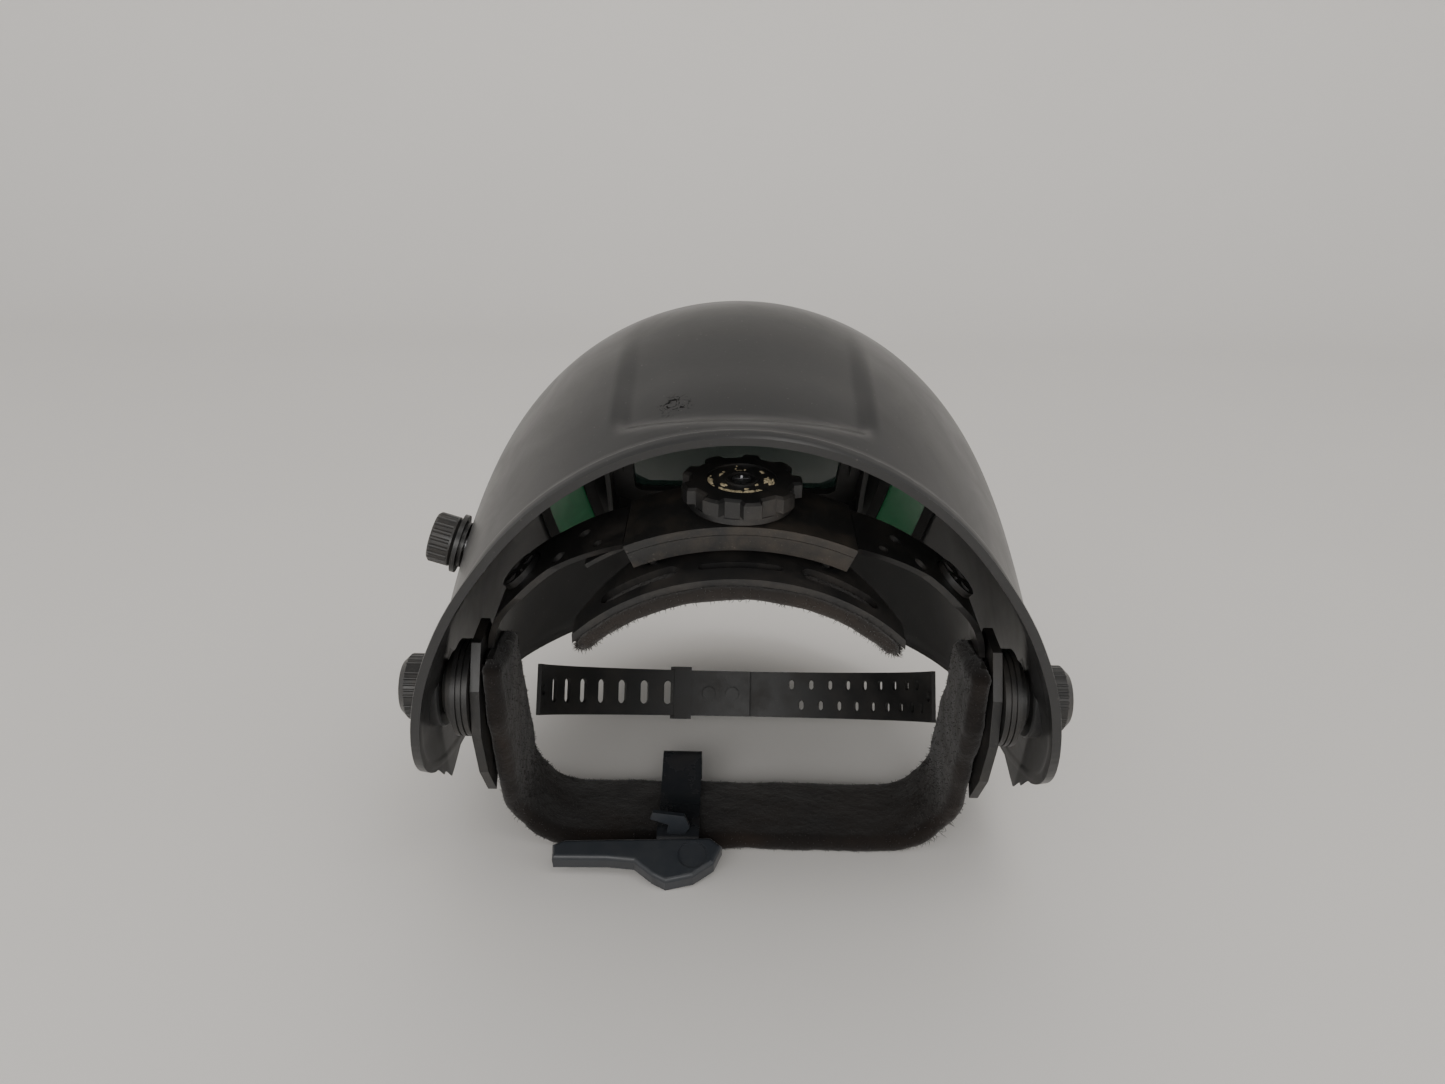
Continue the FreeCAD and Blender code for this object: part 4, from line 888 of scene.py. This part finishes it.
# %% Glass, metal and electronics
def tinted_glass(name, colour, roughness=0.06, streaks=0.08):
    material, tree, shader = new_material(name, colour, roughness, IOR=1.49,
                                          Specular_IOR_Level=0.6, Coat_Weight=0.3)
    smears = noise(tree, 60.0, 5.0, distortion=2.0)
    dark = tuple(c * 0.6 for c in colour)
    tree.links.new(mix(tree, smears, dark, colour), shader.inputs["Base Color"])
    tree.links.new(ramp(tree, smears, [(0.3, roughness), (0.8, roughness + streaks)]),
                   shader.inputs["Roughness"])
    return material


def metal(name, colour, roughness):
    material, tree, shader = new_material(name, colour, roughness, Metallic=1.0)
    lines = noise(tree, 900.0, 4.0, distortion=0.4)
    tree.links.new(ramp(tree, lines, [(0.3, roughness - 0.08), (0.7, roughness + 0.1)]),
                   shader.inputs["Roughness"])
    bump(tree, shader, lines, 0.08, 0.0001)
    return material


filter_green = tinted_glass("filter_green", (0.004, 0.030, 0.016))
# The side panes are opaque here. Their bright green colour is painted light: it stands for the daylight
# that would shine in through the green glass.
window_green_painted_light = tinted_glass("window_green_painted_light", (0.03, 0.22, 0.09), 0.15)
cover_clear = tinted_glass("cover_clear", (0.020, 0.045, 0.036), 0.05)
solar_dark = tinted_glass("solar_dark", (0.012, 0.008, 0.030), 0.12)
sensor_red = tinted_glass("sensor_red", (0.05, 0.004, 0.004), 0.1)
zinc_steel = metal("zinc_steel", (0.42, 0.42, 0.43), 0.35)
nickel = metal("nickel", (0.68, 0.66, 0.62), 0.22)
board_green = moulded("board_green", (0.01, 0.09, 0.035), 0.4, 0.0)
print("glass and metal made")

# %% Fleece, pad cloth and glue
def cloth(name, colour, dusty, dusty_share):
    """Matt cloth with a sheen of fibres; dusty is the brown of worn-in dirt."""
    material, tree, shader = new_material(name, colour, 0.95, Sheen_Weight=0.2,
                                          Sheen_Roughness=0.5, Specular_IOR_Level=0.15)
    patches = ramp(tree, noise(tree, 26.0, 5.0, 0.6), [(0.42, 0.0), (0.7, 1.0)])
    fine = noise(tree, 1100.0, 3.0)
    pale = tuple(c * 1.7 for c in colour)
    worn = mix(tree, maths(tree, "MULTIPLY", patches, dusty_share), colour, dusty)
    tree.links.new(mix(tree, maths(tree, "MULTIPLY", fine, 0.5), worn, pale),
                   shader.inputs["Base Color"])
    bump(tree, shader, noise(tree, 800.0, 4.0), 0.4, 0.0006)
    return material


fleece = cloth("fleece", (0.0095, 0.0078, 0.0072), (0.034, 0.022, 0.015), 0.5)
pad_cloth = cloth("pad_cloth", (0.020, 0.0175, 0.016), (0.050, 0.038, 0.030), 0.4)
glue = moulded("old_glue", (0.62, 0.53, 0.34), 0.7, 0.25, 0.3, (0.30, 0.20, 0.10))
wear(sweatband, fleece)
wear(nape_pad, pad_cloth)
wear(crumbs, glue)
print("cloth made")

# %% Give each carried-over part its finish
FINISHES = {
    strap_plastic: ["crown_strap_left", "crown_strap_right", "strap_keeper", "strap_pegs"],
    headgear_plastic: ["browband", "rear_arm_left", "rear_arm_right", "cushion_frame",
                       "cushion_pegs", "side_plate_left", "side_plate_right",
                       "tilt_disc_left", "tilt_disc_right", "rack_left", "rack_right",
                       "pivot_bolt_left", "pivot_bolt_right", "stop_flange_left",
                       "stop_flange_right", "star_disc_left", "star_disc_right"],
    dusty_housing: ["housing_cover", "housing_base"],
    knob_plastic: ["ratchet_knob", "ratchet_pinion", "pivot_knob_left", "pivot_knob_right",
                   "shade_knob", "shade_flange"],
    clip_grey: ["clip_lever", "clip_tab"],
    clip_black: ["clip_hook"],
    cartridge_black: ["cartridge_front_frame", "cartridge_back_frame", "lens_retainer"],
    rubber_black: ["friction_washer_left", "friction_washer_right", "side_window_seals"],
    filter_green: ["lcd_filter_glass"],
    window_green_painted_light: ["side_window_left", "side_window_right"],
    cover_clear: ["front_cover_lens", "inner_cover_lens"],
    solar_dark: ["solar_cell"],
    sensor_red: ["arc_sensors"],
    zinc_steel: ["housing_screws", "knob_screw", "clip_pin", "shade_potentiometer",
                 "potentiometer_nut"],
    nickel: ["coin_cells"],
    board_green: ["circuit_board"],
}
for material, names in FINISHES.items():
    for name in names:
        wear(nodes[name], material)
print(sum(len(v) for v in FINISHES.values()), "parts have their finish")

# %% [markdown]
# ## Stage
# A pale floor that curves up into a pale backdrop, under a soft sky that is brightest at the
# horizon and darker overhead. What shows on a black shiny shell is the reflection of its
# surroundings, so the darker sky above makes its crown dark and its sides and top edge pale.
# A low window-like light in front reaches in under the crown rim and shows the headgear,
# and a weaker lamp hangs high above the table, to the right.


# %% Floor and backdrop
def make_floor():
    profile = [(-3.0, 0.0), (1.1, 0.0)]
    profile += [(1.1 + 0.5 * math.sin(a), 0.5 - 0.5 * math.cos(a))
                for a in [math.pi / 2 * i / 16 for i in range(1, 17)]]
    profile.append((1.6, 4.0))
    points = [(x, y, z) for y, z in profile for x in (-5.0, 5.0)]
    mesh = bpy.data.meshes.new("floor")
    mesh.from_pydata(points, [], [(2 * i, 2 * i + 1, 2 * i + 3, 2 * i + 2)
                                  for i in range(len(profile) - 1)])
    mesh.shade_smooth()
    made = bpy.data.objects.new("floor", mesh)
    bpy.context.scene.collection.objects.link(made)
    material, tree, shader = new_material("pale_floor", (0.86, 0.84, 0.815), 0.6)
    soft = noise(tree, 3.0, 3.0)
    tree.links.new(mix(tree, soft, (0.84, 0.82, 0.795), (0.88, 0.86, 0.835)),
                   shader.inputs["Base Color"])
    wear(made, material)
    return made


make_floor()


def area_light(name, place, aim, size, power, colour):
    data = bpy.data.lights.new(name, "AREA")
    data.shape, data.size, data.size_y = "RECTANGLE", size[0], size[1]
    data.energy, data.color = power, colour
    made = bpy.data.objects.new(name, data)
    made.location = place
    made.rotation_euler = (Vector(aim) - Vector(place)).to_track_quat("-Z", "Y").to_euler()
    bpy.context.scene.collection.objects.link(made)


area_light("window_front", (-0.25, -1.7, 0.75), (0, -0.05, 0.1), (1.5, 0.7), 13.0,
           (1.0, 0.985, 0.96))
area_light("lamp_high", (0.5, -0.6, 1.9), (0, 0, 0.1), (0.9, 0.9), 5.0, (1.0, 0.97, 0.93))
world = bpy.data.worlds.new("sky")
bpy.context.scene.world = world
world.use_nodes = True
sky = world.node_tree
sky.nodes["Background"].inputs["Color"].default_value = (0.99, 0.975, 0.955, 1)
direction = add(sky, "ShaderNodeSeparateXYZ")
sky.links.new(add(sky, "ShaderNodeTexCoord").outputs["Generated"], direction.inputs[0])
higher = add(sky, "ShaderNodeMapRange")
for socket, value in (("From Min", 0.05), ("From Max", 0.85), ("To Min", 1.05), ("To Max", 0.42)):
    higher.inputs[socket].default_value = value
sky.links.new(direction.outputs["Z"], higher.inputs["Value"])
sky.links.new(higher.outputs["Result"], sky.nodes["Background"].inputs["Strength"])
print("stage and lights ready")
